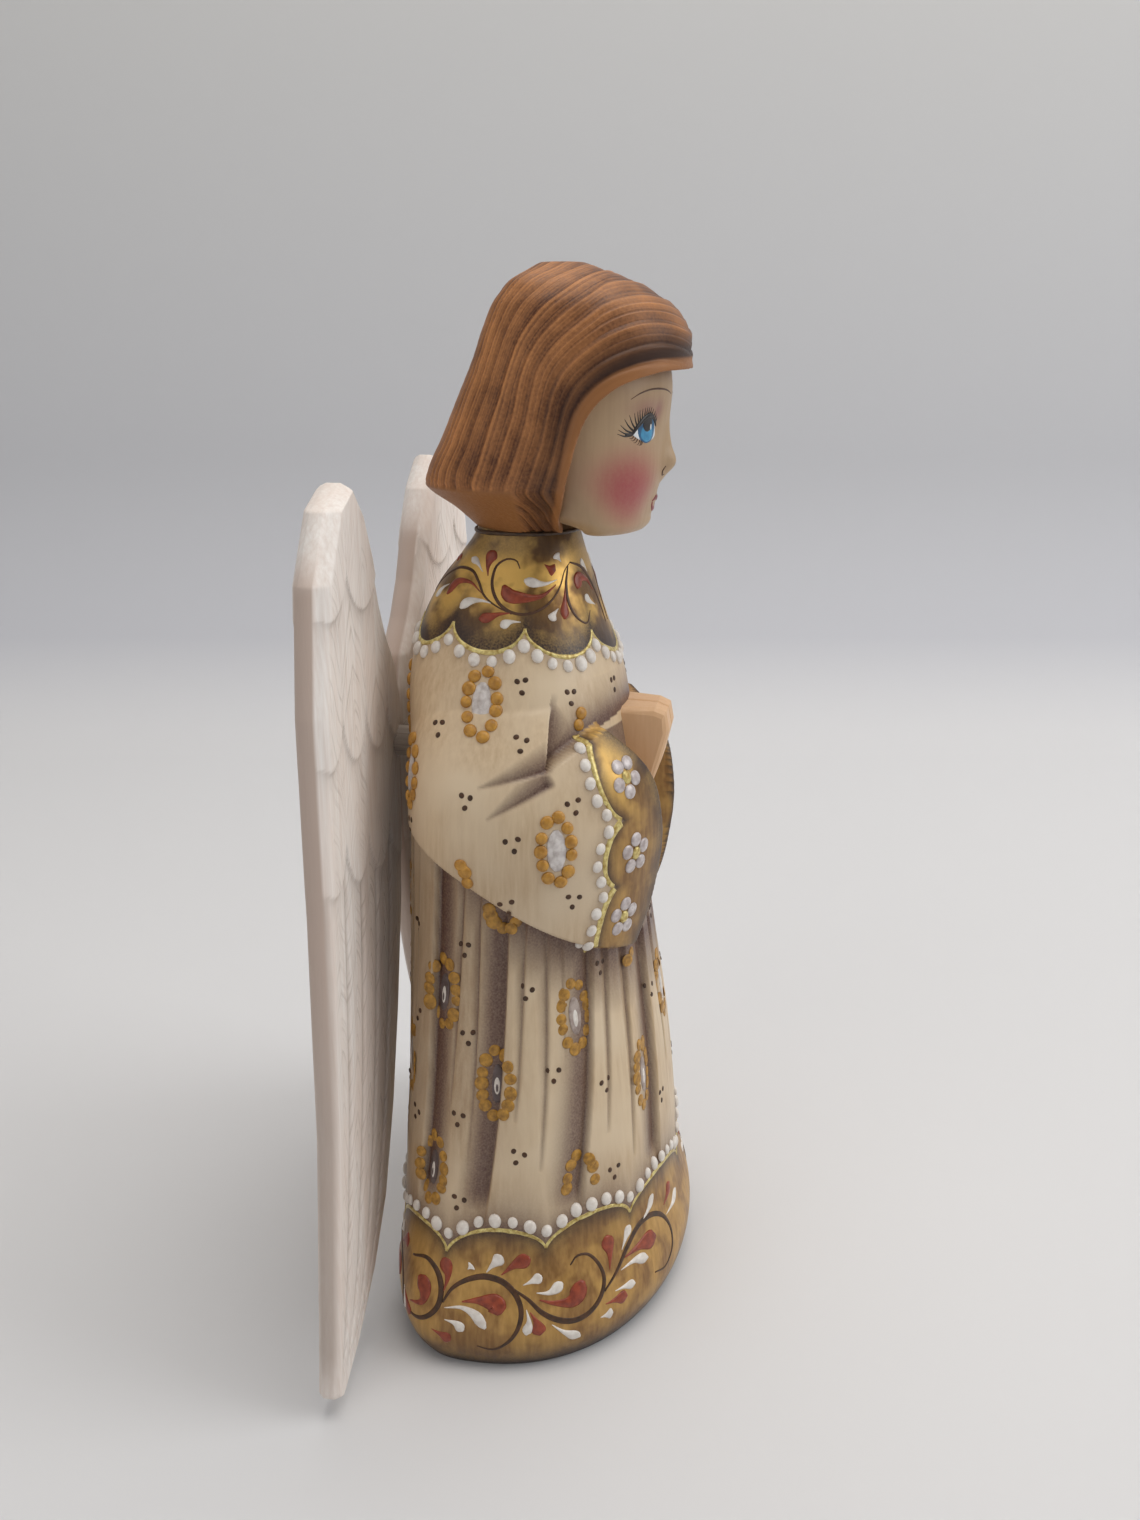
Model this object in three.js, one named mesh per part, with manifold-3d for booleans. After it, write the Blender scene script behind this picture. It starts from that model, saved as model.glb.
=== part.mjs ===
// Wooden angel figurine: a carved linden figure in a long robe, with two wings that pull off its back.
// Millimetres, +Z up. The origin is the centre of the flat underside.
// The figure faces -Y, so "forward" below is -Y, and its right side is -X.
import * as THREE from "three";
import { mergeVertices } from "three/addons/utils/BufferGeometryUtils.js";
import Module from "manifold-3d";

const wasm = await Module();
wasm.setup();

// Driving dimensions.
const figureHeight = 190;
const neckHeight = 146;
const jointGap = 0.3;

const neckDowel = { diameter: 8, length: 16 };
const wingPeg = { diameter: 5.6, side: 4, height: 106.5, inBody: 12, inWing: 3 };
const wing = { front: 26.4, backOfRobe: 21, thickness: 4.8, tipThickness: 3.4, sweep: 0.042, bevel: 0.8 };

// The robe from the underside to the neck: half width, and how far it reaches forward and to the rear.
const robeStations = [
  { height: 0, halfWidth: 40.2, front: 28, rear: -20.2, middle: -4 },
  { height: 1.2, halfWidth: 41, front: 28.8, rear: -21, middle: -4 },
  { height: 24, halfWidth: 37, front: 27.6, rear: -23.2, middle: -1 },
  { height: 48, halfWidth: 33.1, front: 25.5, rear: -22.4, middle: 0 },
  { height: 75, halfWidth: 28.3, front: 21.6, rear: -21.9, middle: -1 },
  { height: 100, halfWidth: 27, front: 19.2, rear: -21.1, middle: -2 },
  { height: 112, halfWidth: 25.4, front: 17.4, rear: -20.9, middle: -3 },
  { height: 121, halfWidth: 22.2, front: 15.8, rear: -21.2, middle: -3 },
  { height: 129, halfWidth: 18.2, front: 13.1, rear: -19.9, middle: -3 },
  { height: 137, halfWidth: 14, front: 10.5, rear: -16.2, middle: -2 },
  { height: 142, halfWidth: 11.6, front: 8.9, rear: -12.5, middle: -1 },
  { height: neckHeight, halfWidth: 10.2, front: 7.8, rear: -9.8, middle: 0 },
];
const skirtRows = [0, 1.2, 12, 24, 31, 40, 52, 64, 76, 88, 100];
const shoulderRows = [112, 117, 121, 125, 129, 133, 137, 142, neckHeight];
const robePoints = 96;
const robeRoundness = { front: 2.1, rear: 3.2 };
const pleats = {
  count: 24,
  depth: 1.2,
  low: 24,
  lowFade: 14,
  high: 84,
  highFade: 14,
  sway: 0.05,
  swayWaves: 5,
};

// The arms in their wide drooping sleeves stand proud of the robe, as one mass that is then cut to shape.
const sleeveStations = [
  { height: 70, halfWidth: 29.6, front: 22.8, rear: -21.4, middle: -1 },
  { height: 84, halfWidth: 31.2, front: 25.2, rear: -21.2, middle: -1.5 },
  { height: 97, halfWidth: 31.6, front: 26.2, rear: -20.9, middle: -2 },
  { height: 108, halfWidth: 29.4, front: 24, rear: -20.6, middle: -2.5 },
  { height: 116, halfWidth: 25, front: 18.8, rear: -20.4, middle: -3 },
  { height: 124, halfWidth: 19.2, front: 13.8, rear: -19.8, middle: -3 },
];
const sleeveRows = [70, 77, 84, 91, 97, 103, 108, 112, 116, 120, 124];
const sleevePoints = 64;

// The sleeves in side view: forward, height.
const sleeveLowerEdge = [
  [-28, 100],
  [-20, 97.4],
  [-11.5, 92.6],
  [1, 84.6],
  [13, 77.4],
  [20.6, 73.4],
];
const cuffFront = [
  [24, 82],
  [26, 96],
  [24.4, 107],
  [19.6, 116],
];
const forearmTop = [
  [13, 113],
  [7.2, 109.4],
];
const upperArmFront = [
  [6.8, 116],
  [6.2, 122],
  [3, 127],
];

// The lens-shaped gap between the two cuffs in front view: half width, height.
const cuffGap = [
  [18.5, 119],
  [15, 111.6],
  [11.6, 104],
  [10.4, 97],
  [10, 87],
  [12, 78],
  [16.4, 69],
];

// One of the two praying hands in side view, from inside the cuff to the fingertips: forward, height.
const handProfile = [
  [13.5, 98],
  [21.2, 98.4],
  [23.6, 105],
  [25, 111],
  [24.4, 114.2],
  [22.4, 115],
  [13.5, 115.4],
];
const hand = { thickness: 6.8, bevel: 0.9, tipShare: 0.72 };

// The bob of hair from the neck to the crown.
const hairStations = [
  { height: neckHeight, halfWidth: 9.6, front: 8, rear: -8.6, middle: 0 },
  { height: 150, halfWidth: 15.6, front: 20, rear: -13.4, middle: 0 },
  { height: 154.4, halfWidth: 20.6, front: 23, rear: -18.8, middle: 0 },
  { height: 156.4, halfWidth: 21.4, front: 24, rear: -18.3, middle: 0 },
  { height: 162, halfWidth: 21.4, front: 25, rear: -15.6, middle: 2 },
  { height: 168, halfWidth: 20.8, front: 26, rear: -13, middle: 4 },
  { height: 175, halfWidth: 19.6, front: 27.2, rear: -10, middle: 6 },
  { height: 180, halfWidth: 17.9, front: 26.6, rear: -8.3, middle: 7 },
  { height: 185, halfWidth: 14.8, front: 21.8, rear: -5.9, middle: 7 },
  { height: 188, halfWidth: 10.6, front: 15.8, rear: -3, middle: 6 },
  { height: figureHeight, halfWidth: 4.4, front: 8.8, rear: 1.2, middle: 5 },
];
const bobRows = [neckHeight, 150, 154.4, 156.4, 160, 165, 170, 175];
const crownRows = [178.5, 182, 185, 187.2, 188.8, figureHeight];
const hairRoundness = { front: 2.3, rear: 2.3 };

// The hairline on the side of the head, from the fringe down to the jaw: forward, height.
const hairline = [
  [30, 173],
  [25.2, 172.8],
  [20.4, 171.8],
  [15.6, 169.2],
  [12.6, 164.6],
  [10.9, 159],
  [8.6, 152.2],
  [7.4, 148.2],
  [6.8, 143],
];

// The face inside the hair, from the flat chin to above the fringe.
const faceStations = [
  { height: 146.3, halfWidth: 12, front: 19.2, rear: 9, middle: 13 },
  { height: 146.8, halfWidth: 13, front: 19.7, rear: 8.6, middle: 13 },
  { height: 147.4, halfWidth: 13.5, front: 20, rear: 7, middle: 13 },
  { height: 148.6, halfWidth: 14.4, front: 20.3, rear: 2, middle: 12 },
  { height: 151, halfWidth: 15.2, front: 20.9, rear: -2, middle: 11 },
  { height: 155, halfWidth: 16.4, front: 22.2, rear: -4, middle: 9 },
  { height: 163, halfWidth: 17.6, front: 23, rear: -4, middle: 8 },
  { height: 170, halfWidth: 17.4, front: 23.8, rear: -4, middle: 8 },
  { height: 178, halfWidth: 15, front: 22.6, rear: -2, middle: 8 },
];
const faceRows = [146.3, 146.8, 147.4, 148.6, 151, 153.5, 156, 160, 164, 168, 172, 178];
const faceRoundness = { front: 1.8, rear: 2.2 };
const headPoints = 48;

// The nose is a small wedge: its ridge and half width from the nostrils up to the bridge.
const noseStations = [
  { height: 154.8, halfWidth: 1.9, ridge: 22.8, root: 20 },
  { height: 156.8, halfWidth: 2, ridge: 24.3, root: 20 },
  { height: 163.6, halfWidth: 0.9, ridge: 22.7, root: 20 },
];

// The wing board in front view: distance from the centre line, height.
const wingPeak = [27.4, 156];
const wingOuterEdge = [
  [37, 152.4],
  [44.6, 142],
  [47.8, 122],
  [48.4, 88],
  [51, 50],
  [57.2, 12],
  [58.4, 4.6],
];
const wingInnerEdge = [
  [55.4, 2.6],
  [44, 6.2],
  [32.5, 12.6],
  [23, 21.4],
  [14.6, 37],
  [8, 55],
  [2.9, 74],
  [0.8, 90],
  [0.5, 114],
  [2.6, 121],
  [8, 127],
  [12, 133.4],
  [16, 142.6],
  [20.4, 150],
];
const wingCurveSteps = 4;

// How finely curves are stepped, and how wide the cutting bodies are.
const dowelSides = 24;
const curveSteps = { sleeve: 3, cuffGap: 14, hairline: 20 };
const cutterWidth = { sleeves: 80, head: 60, feathers: 20 };
const weldDistance = 1e-4;

// Feathers lie in tiers, each a step prouder than the one below it, with round tips along its lower edge.
const featherTiers = [
  { height: 93, rise: 10, proud: 0.5, tips: 4, drop: 9 },
  { height: 114, rise: 8, proud: 1, tips: 4, drop: 8 },
  { height: 134, rise: 4, proud: 1.5, tips: 3, drop: 7 },
];
const tierSpan = { inner: -2, outer: 52, top: 165, tipSteps: 6 };

// Long flight feathers are parted by shallow grooves that run down towards the tip.
const flightGrooves = [
  { top: [10, 88], middle: [18, 52], low: [40, 12] },
  { top: [20, 86], middle: [27, 50], low: [46, 10] },
  { top: [30, 88], middle: [35, 50], low: [51, 8.4] },
  { top: [40, 92], middle: [43, 50], low: [55, 9] },
];
const groove = { halfWidth: 0.9, depth: 0.8, steps: 12 };

const paint = {
  robe: new THREE.MeshStandardMaterial({ color: 0xd8c3a0, roughness: 0.45, metalness: 0 }),
  hair: new THREE.MeshStandardMaterial({ color: 0x8f5c38, roughness: 0.5, metalness: 0 }),
  skin: new THREE.MeshStandardMaterial({ color: 0xd2a57b, roughness: 0.5, metalness: 0 }),
  wing: new THREE.MeshStandardMaterial({ color: 0xddd0c6, roughness: 0.75, metalness: 0 }),
  peg: new THREE.MeshStandardMaterial({ color: 0xa89a8c, roughness: 0.8, metalness: 0 }),
  dowel: new THREE.MeshStandardMaterial({ color: 0xc9b08c, roughness: 0.8, metalness: 0 }),
};

// Closed geometry becomes a solid for cutting and joining, and goes back to geometry afterwards.
function toSolid(geometry) {
  const bare = geometry.clone();
  bare.deleteAttribute("normal");
  bare.deleteAttribute("uv");
  const merged = mergeVertices(bare, weldDistance);
  return new wasm.Manifold(
    new wasm.Mesh({
      numProp: 3,
      vertProperties: new Float32Array(merged.attributes.position.array),
      triVerts: new Uint32Array(merged.index.array),
    }),
  );
}

function toGeometry(solid) {
  const mesh = solid.getMesh();
  const geometry = new THREE.BufferGeometry();
  geometry.setAttribute("position", new THREE.BufferAttribute(mesh.vertProperties, 3));
  geometry.setIndex(new THREE.BufferAttribute(mesh.triVerts, 1));
  geometry.computeVertexNormals();
  return geometry;
}

// A closed skin through rings of equal count, which run anticlockwise about the direction they stack in.
function loft(rings) {
  const count = rings[0].length;
  const points = rings.flat();
  const faces = [];
  for (let row = 0; row + 1 < rings.length; row++) {
    for (let i = 0; i < count; i++) {
      const a = row * count + i;
      const b = row * count + ((i + 1) % count);
      faces.push(a, b, b + count, a, b + count, a + count);
    }
  }
  const middle = (ring) =>
    ring.reduce((sum, point) => sum.add(point), new THREE.Vector3()).divideScalar(count);
  const first = points.push(middle(rings[0])) - 1;
  const last = points.push(middle(rings[rings.length - 1])) - 1;
  const lastRing = (rings.length - 1) * count;
  for (let i = 0; i < count; i++) {
    const next = (i + 1) % count;
    faces.push(first, next, i, last, lastRing + i, lastRing + next);
  }
  return new THREE.BufferGeometry().setFromPoints(points).setIndex(faces);
}

// The sizes at any place, on a smooth curve through the stations.
function sizesAlong(stations, place) {
  const names = Object.keys(stations[0]).filter((name) => name !== place);
  const places = stations.map((station) => station[place]);
  const values = stations.flatMap((station) => names.map((name) => station[name]));
  const curve = new THREE.CubicInterpolant(places, values, names.length, new Float64Array(names.length));
  return (at) => {
    const found = Array.from(curve.evaluate(at));
    return Object.fromEntries(names.map((name, i) => [name, found[i]]));
  };
}

const roundPower = (value, roundness) => Math.sign(value) * Math.abs(value) ** (2 / roundness);

// A level oval; carve gives the angle to use for a point, and how much of the radius is left there.
function levelOval(size, height, count, roundness, carve = (angle) => ({ angle, keep: 1 })) {
  const ring = [];
  for (let i = 0; i < count; i++) {
    const { angle, keep } = carve((i / count) * 2 * Math.PI, height);
    const ahead = Math.sin(angle) < 0;
    const power = ahead ? roundness.front : roundness.rear;
    const reach = ahead ? size.front - size.middle : size.middle - size.rear;
    const x = size.halfWidth * roundPower(Math.cos(angle), power) * keep;
    const y = reach * roundPower(Math.sin(angle), power) * keep - size.middle;
    ring.push(new THREE.Vector3(x, y, height));
  }
  return ring;
}

function stackOvals(stations, rows, count, roundness, carve) {
  const sizeAt = sizesAlong(stations, "height");
  return loft(rows.map((height) => levelOval(sizeAt(height), height, count, roundness, carve)));
}

// Uneven pleats run down the skirt, and die out above the hem band and under the sleeves.
function pleatCut(angle, height) {
  const rise = THREE.MathUtils.smoothstep(height, pleats.low, pleats.low + pleats.lowFade);
  const fall = 1 - THREE.MathUtils.smoothstep(height, pleats.high, pleats.high + pleats.highFade);
  const valley = ((1 + Math.cos(angle * pleats.count)) / 2) ** 2;
  const meanRadius = robeStations[0].halfWidth;
  return {
    angle: angle + pleats.sway * Math.sin(pleats.swayWaves * angle),
    keep: 1 - (pleats.depth / meanRadius) * rise * fall * valley,
  };
}

// The two arms: the mass between their side outlines, less the gap between the cuffs.
function sleevePair() {
  const across = cutterWidth.sleeves;
  const side = new THREE.Shape();
  side.moveTo(...sleeveLowerEdge[0]);
  for (const edge of [sleeveLowerEdge.slice(1), cuffFront, forearmTop, upperArmFront]) {
    side.splineThru(edge.map(([forward, height]) => new THREE.Vector2(forward, height)));
  }
  side.lineTo(sleeveLowerEdge[0][0], upperArmFront[upperArmFront.length - 1][1]);
  const sideView = new THREE.ExtrudeGeometry(side, {
    depth: across,
    curveSegments: curveSteps.sleeve,
    bevelEnabled: false,
  });
  const gapCurve = new THREE.SplineCurve(cuffGap.map(([x, height]) => new THREE.Vector2(x, height)));
  const gapEdge = gapCurve.getPoints(curveSteps.cuffGap);
  const gap = new THREE.Shape(gapEdge);
  for (const { x, y } of gapEdge.reverse()) {
    gap.lineTo(-x, y);
  }
  const frontView = new THREE.ExtrudeGeometry(gap, { depth: across, bevelEnabled: false });
  frontView.rotateX(Math.PI / 2);
  return toSolid(stackOvals(sleeveStations, sleeveRows, sleevePoints, robeRoundness))
    .intersect(toSolid(standSideProfile(sideView).translate(across / 2, 0, 0)))
    .subtract(toSolid(frontView));
}

// A shape drawn as forward and height, with thickness along Z, stood up so that the thickness runs to -X.
function standSideProfile(geometry) {
  return geometry.applyMatrix4(new THREE.Matrix4().set(0, 0, -1, 0, -1, 0, 0, 0, 0, 1, 0, 0, 0, 0, 0, 1));
}

// A hand's side profile given thickness, bevelled edges and a taper to the fingertips.
// Grow makes the slightly larger body that cuts its socket.
function handSkin(side, grow = 0) {
  const corners = handProfile.map(([forward, height]) => new THREE.Vector2(forward, height));
  const outline = new THREE.Shape(corners);
  const geometry = new THREE.ExtrudeGeometry(outline, {
    depth: hand.thickness - 2 * hand.bevel,
    bevelThickness: hand.bevel + grow,
    bevelSize: hand.bevel + grow,
    bevelOffset: -hand.bevel,
    bevelSegments: 1,
  });
  const near = jointGap / 2 + hand.bevel;
  const far = jointGap / 2 + hand.thickness - hand.bevel;
  standSideProfile(geometry).translate(side > 0 ? far : -near, 0, 0);
  const position = geometry.attributes.position;
  const [rearmost, foremost] = [handProfile[0][0], handProfile[3][0]];
  for (let i = 0; i < position.count; i++) {
    const reach = (-position.getY(i) - rearmost) / (foremost - rearmost);
    position.setX(i, position.getX(i) * THREE.MathUtils.lerp(1, hand.tipShare, reach));
  }
  return geometry;
}

// A round dowel along Y through the robe's back into a wing, and one standing in the neck.
function wingPegSkin(side, grow = 0) {
  const length = wingPeg.inBody + wing.front - wing.backOfRobe + wingPeg.inWing;
  const middle = wing.backOfRobe - wingPeg.inBody + length / 2;
  const radius = wingPeg.diameter / 2 + grow;
  const geometry = new THREE.CylinderGeometry(radius, radius, length + 2 * grow, dowelSides);
  return geometry.translate(side * wingPeg.side, middle, wingPeg.height);
}

function neckDowelSkin(grow = 0) {
  const radius = neckDowel.diameter / 2 + grow;
  const geometry = new THREE.CylinderGeometry(radius, radius, neckDowel.length + 2 * grow, dowelSides);
  return geometry.rotateX(Math.PI / 2).translate(0, 0, neckHeight);
}

function robeBody() {
  const rows = skirtRows.concat(shoulderRows);
  let solid = toSolid(stackOvals(robeStations, rows, robePoints, robeRoundness, pleatCut));
  solid = solid.add(sleevePair()).subtract(toSolid(neckDowelSkin(jointGap)));
  for (const side of [-1, 1]) {
    solid = solid.subtract(toSolid(handSkin(side, jointGap)));
    solid = solid.subtract(toSolid(wingPegSkin(side, jointGap)));
  }
  return toGeometry(solid);
}

// Everything in front of the hairline, right across the head.
function faceOpening() {
  const acrossHead = cutterWidth.head;
  const places = hairline.map(([forward, height]) => new THREE.Vector2(forward, height));
  const line = new THREE.SplineCurve(places);
  const outline = new THREE.Shape(line.getPoints(curveSteps.hairline));
  outline.lineTo(hairline[0][0], hairline[hairline.length - 1][1]);
  const geometry = new THREE.ExtrudeGeometry(outline, { depth: acrossHead, bevelEnabled: false });
  return standSideProfile(geometry).translate(acrossHead / 2, 0, 0);
}

function noseSkin() {
  return loft(
    noseStations.map(({ height, halfWidth, ridge, root }) => [
      new THREE.Vector3(halfWidth, -root, height),
      new THREE.Vector3(-halfWidth, -root, height),
      new THREE.Vector3(0, -ridge, height),
    ]),
  );
}

function headBlock() {
  const hair = toSolid(stackOvals(hairStations, bobRows.concat(crownRows), headPoints, hairRoundness));
  const face = toSolid(stackOvals(faceStations, faceRows, headPoints, faceRoundness));
  let solid = hair.subtract(toSolid(faceOpening()));
  solid = solid.add(face).add(toSolid(noseSkin()));
  return toGeometry(solid.subtract(toSolid(neckDowelSkin(jointGap))));
}

// The wing lies flat while it is cut: X from the centre line, Y up, Z from its front face to the rear.
function wingOutline() {
  const outline = new THREE.Shape();
  outline.moveTo(...wingPeak);
  outline.splineThru(wingOuterEdge.map(([x, y]) => new THREE.Vector2(x, y)));
  outline.splineThru(wingInnerEdge.concat([wingPeak]).map(([x, y]) => new THREE.Vector2(x, y)));
  return outline;
}

function flatWing(proud = 0) {
  const geometry = new THREE.ExtrudeGeometry(wingOutline(), {
    depth: wing.thickness + proud - 2 * wing.bevel,
    curveSegments: wingCurveSteps,
    bevelThickness: wing.bevel,
    bevelSize: wing.bevel,
    bevelOffset: -wing.bevel,
    bevelSegments: 1,
  });
  return geometry.translate(0, 0, wing.bevel - proud);
}

// The part of the board above a row of round feather tips.
function tierRegion({ height, rise, tips, drop }) {
  const { inner, outer, top, tipSteps } = tierSpan;
  const region = new THREE.Shape();
  region.moveTo(inner, top);
  const steps = tips * tipSteps;
  for (let i = 0; i <= steps; i++) {
    const along = i / steps;
    const tip = Math.sqrt(Math.abs(Math.sin(along * tips * Math.PI)));
    region.lineTo(inner + (outer - inner) * along, height + rise * along - drop * tip);
  }
  region.lineTo(outer, top);
  const deep = cutterWidth.feathers;
  const geometry = new THREE.ExtrudeGeometry(region, { depth: deep, bevelEnabled: false });
  return geometry.translate(0, 0, -deep / 2);
}

function grooveSkin({ top, middle, low }) {
  const places = [top, middle, low].map(([x, y]) => new THREE.Vector3(x, y, 0));
  const path = new THREE.CatmullRomCurve3(places);
  const wedge = new THREE.Shape();
  wedge.moveTo(0, -groove.halfWidth);
  wedge.lineTo(groove.depth, 0);
  wedge.lineTo(0, groove.halfWidth);
  wedge.lineTo(-groove.depth, 0);
  return new THREE.ExtrudeGeometry(wedge, {
    steps: groove.steps,
    extrudePath: path,
    bevelEnabled: false,
  });
}

// Stand the flat wing on the figure's right.
// It is thinner towards the tip, and swept forward towards its outer edge.
function standWing(geometry) {
  const position = geometry.attributes.position;
  for (let i = 0; i < position.count; i++) {
    const x = position.getX(i);
    const height = position.getY(i);
    const share = THREE.MathUtils.smoothstep(height, 0, wingPeg.height);
    const thin = THREE.MathUtils.lerp(wing.tipThickness, wing.thickness, share) / wing.thickness;
    position.setXYZ(i, -x, wing.front - wing.sweep * x + thin * position.getZ(i), height);
  }
  return geometry;
}

// The same skin on the other side of the figure, with its faces turned to point out again.
function mirrored(geometry) {
  const copy = geometry.clone().scale(-1, 1, 1);
  const index = copy.index.array;
  for (let i = 0; i < index.length; i += 3) {
    [index[i], index[i + 1]] = [index[i + 1], index[i]];
  }
  copy.computeVertexNormals();
  return copy;
}

function rightWing() {
  let board = toSolid(flatWing());
  for (const tier of featherTiers) {
    board = board.add(toSolid(flatWing(tier.proud)).intersect(toSolid(tierRegion(tier))));
  }
  for (const line of flightGrooves) {
    board = board.subtract(toSolid(grooveSkin(line)));
  }
  const standing = toSolid(standWing(toGeometry(board)));
  return toGeometry(standing.subtract(toSolid(wingPegSkin(-1, jointGap))));
}

function piece(name, geometry, material) {
  const mesh = new THREE.Mesh(geometry, material);
  mesh.name = name;
  return mesh;
}

const figure = new THREE.Group();
figure.add(piece("robe_body", robeBody(), paint.robe));
figure.add(piece("neck_dowel", neckDowelSkin(), paint.dowel));
figure.add(piece("head", headBlock(), paint.hair));
figure.add(piece("hand_right", handSkin(-1), paint.skin));
figure.add(piece("hand_left", handSkin(1), paint.skin));

const wingSkin = rightWing();
const angel = new THREE.Group();
angel.add(figure);
for (const [name, side, skin] of [["right", -1, wingSkin], ["left", 1, mirrored(wingSkin)]]) {
  const wingGroup = new THREE.Group();
  wingGroup.add(piece(`wing_${name}`, skin, paint.wing));
  wingGroup.add(piece(`wing_peg_${name}`, wingPegSkin(side), paint.peg));
  angel.add(wingGroup);
}

export default angel;
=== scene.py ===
import math

import bpy
import numpy as np
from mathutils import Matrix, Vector


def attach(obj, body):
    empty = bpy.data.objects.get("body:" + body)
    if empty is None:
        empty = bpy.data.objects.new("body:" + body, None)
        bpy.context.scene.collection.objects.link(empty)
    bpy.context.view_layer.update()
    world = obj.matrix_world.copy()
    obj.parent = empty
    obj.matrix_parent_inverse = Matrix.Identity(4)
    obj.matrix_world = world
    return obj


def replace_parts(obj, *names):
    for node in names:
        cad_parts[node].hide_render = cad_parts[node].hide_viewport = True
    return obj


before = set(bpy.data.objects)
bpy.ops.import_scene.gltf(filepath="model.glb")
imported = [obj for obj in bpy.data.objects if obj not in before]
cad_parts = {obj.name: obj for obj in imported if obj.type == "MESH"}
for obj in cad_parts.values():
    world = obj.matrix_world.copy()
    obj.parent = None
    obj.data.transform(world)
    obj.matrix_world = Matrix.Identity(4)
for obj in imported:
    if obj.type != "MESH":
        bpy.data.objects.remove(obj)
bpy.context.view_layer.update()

# A painted wooden angel. Shapes are worked out in millimetres in the CAD frame, then scaled to metres.
# "side" is towards the figure's right (-X), "ahead" is the way it faces (-Y).
# A "turn" runs once round a ring: 0 is the front, 0.25 the figure's right side, 0.5 the back.
mm = 0.001
rng = np.random.default_rng(7)


# Small tools

def toLinear(hexColour):
    parts = [int(hexColour[i:i + 2], 16) / 255 for i in (1, 3, 5)]
    return [p / 12.92 if p <= 0.04045 else ((p + 0.055) / 1.055) ** 2.4 for p in parts] + [1.0]


def perMm(*sizes):
    # texture scales for pattern sizes in millimetres
    return tuple(1 / (size * mm) for size in sizes)


def smooth(low, high, value):
    u = np.clip((value - low) / (high - low), 0, 1)
    return u * u * (3 - 2 * u)


def curveThrough(places, values):
    # smooth curve through the points, flat beyond its ends
    xs = np.array(places, float)
    ys = np.array(values, float)
    slopes = np.gradient(ys, xs, axis=0)

    def at(x):
        x = np.clip(np.asarray(x, float), xs[0], xs[-1])
        i = np.clip(np.searchsorted(xs, x, side="right") - 1, 0, len(xs) - 2)
        span = xs[i + 1] - xs[i]
        u = (x - xs[i]) / span
        if ys.ndim > 1:
            u = u[..., None]
            span = span[..., None]
        stay = 2 * u ** 3 - 3 * u ** 2 + 1
        leave = (u ** 3 - 2 * u ** 2 + u) * span
        arrive = (u ** 3 - u ** 2) * span
        return stay * ys[i] + leave * slopes[i] + (1 - stay) * ys[i + 1] + arrive * slopes[i + 1]
    return at


def fineCurve(points, count):
    # a smooth curve through given points, read at even steps
    table = np.array(points, float)
    return curveThrough(np.arange(len(table)), table)(np.linspace(0, len(table) - 1, count))


def fading(distance, strength, reach, bend):
    # full strength at an edge, dying away over the reach in millimetres
    return strength * np.exp(-(np.maximum(distance, 0) / reach) ** bend)


def strongest(*fields):
    return np.maximum.reduce(fields)


def gougeCuts(place, narrow, wide, seed):
    # gouge cuts of uneven width side by side:
    # each climbs from a dark hollow to a light crest and drops off sharply
    source = np.random.default_rng(seed)
    ends = -6 + np.cumsum(source.uniform(narrow, wide, int(110 / narrow)))
    crests = source.uniform(0.6, 1.0, len(ends))
    k = np.clip(np.searchsorted(ends, place) - 1, 0, len(ends) - 2)
    across = np.clip((place - ends[k]) / (ends[k + 1] - ends[k]), 0, 1)
    return crests[k] * np.clip(np.minimum(across ** 0.75, (1 - across) / 0.14), 0, 1)


def power(value, roundness):
    return np.sign(value) * np.abs(value) ** (2 / roundness)


def oval(size, angle, front, rear):
    # size columns: half width, front, rear, middle; angle 0 is ahead and a quarter turn is the right side
    halfWidth, ahead, behind, middle = [size[..., k] for k in range(4)]
    cosine, sine = np.cos(angle), np.sin(angle)
    bend = np.where(cosine > 0, front, rear)
    reach = np.where(cosine > 0, ahead - middle, middle - behind)
    return np.stack([-halfWidth * power(sine, bend), -(middle + reach * power(cosine, bend))], -1)


def evenAngles(columns, size, front, rear):
    # angles that space the columns evenly round a ring of this size
    fine = np.linspace(0, 2 * math.pi, 20001)
    ring = oval(np.array(size, float)[None, :], fine, front, rear)
    steps = np.linalg.norm(np.diff(ring, axis=0), axis=1)
    arc = np.concatenate([[0], np.cumsum(steps)]) / steps.sum()
    return np.interp(np.arange(columns) / columns, arc, fine)


def stackOvals(stations, heights, angles, front, rear):
    table = np.array(stations, float)
    sizes = curveThrough(table[:, 0], table[:, 1:])(heights)
    flat = oval(sizes[:, None, :], angles[None, :], front, rear)
    lift = np.broadcast_to(heights[:, None, None], flat.shape[:2] + (1,))
    return np.concatenate([flat, lift], -1)


def gridNormals(grid):
    across = np.roll(grid, -1, 1) - np.roll(grid, 1, 1)
    up = np.gradient(grid, axis=0)
    normal = np.cross(up, across)
    return normal / (np.linalg.norm(normal, axis=-1, keepdims=True) + 1e-9)


def gridFaces(rows, columns):
    index = np.arange(rows * columns).reshape(rows, columns)
    nextOne = np.roll(index, -1, 1)
    quads = np.stack([index[:-1], index[1:], nextOne[1:], nextOne[:-1]], -1).reshape(-1, 4)
    first, last = rows * columns, rows * columns + 1
    floor = [[a, b, first] for a, b in zip(index[0].tolist(), nextOne[0].tolist())]
    roof = [[b, a, last] for a, b in zip(index[-1].tolist(), nextOne[-1].tolist())]
    return quads.tolist() + floor + roof


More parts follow.
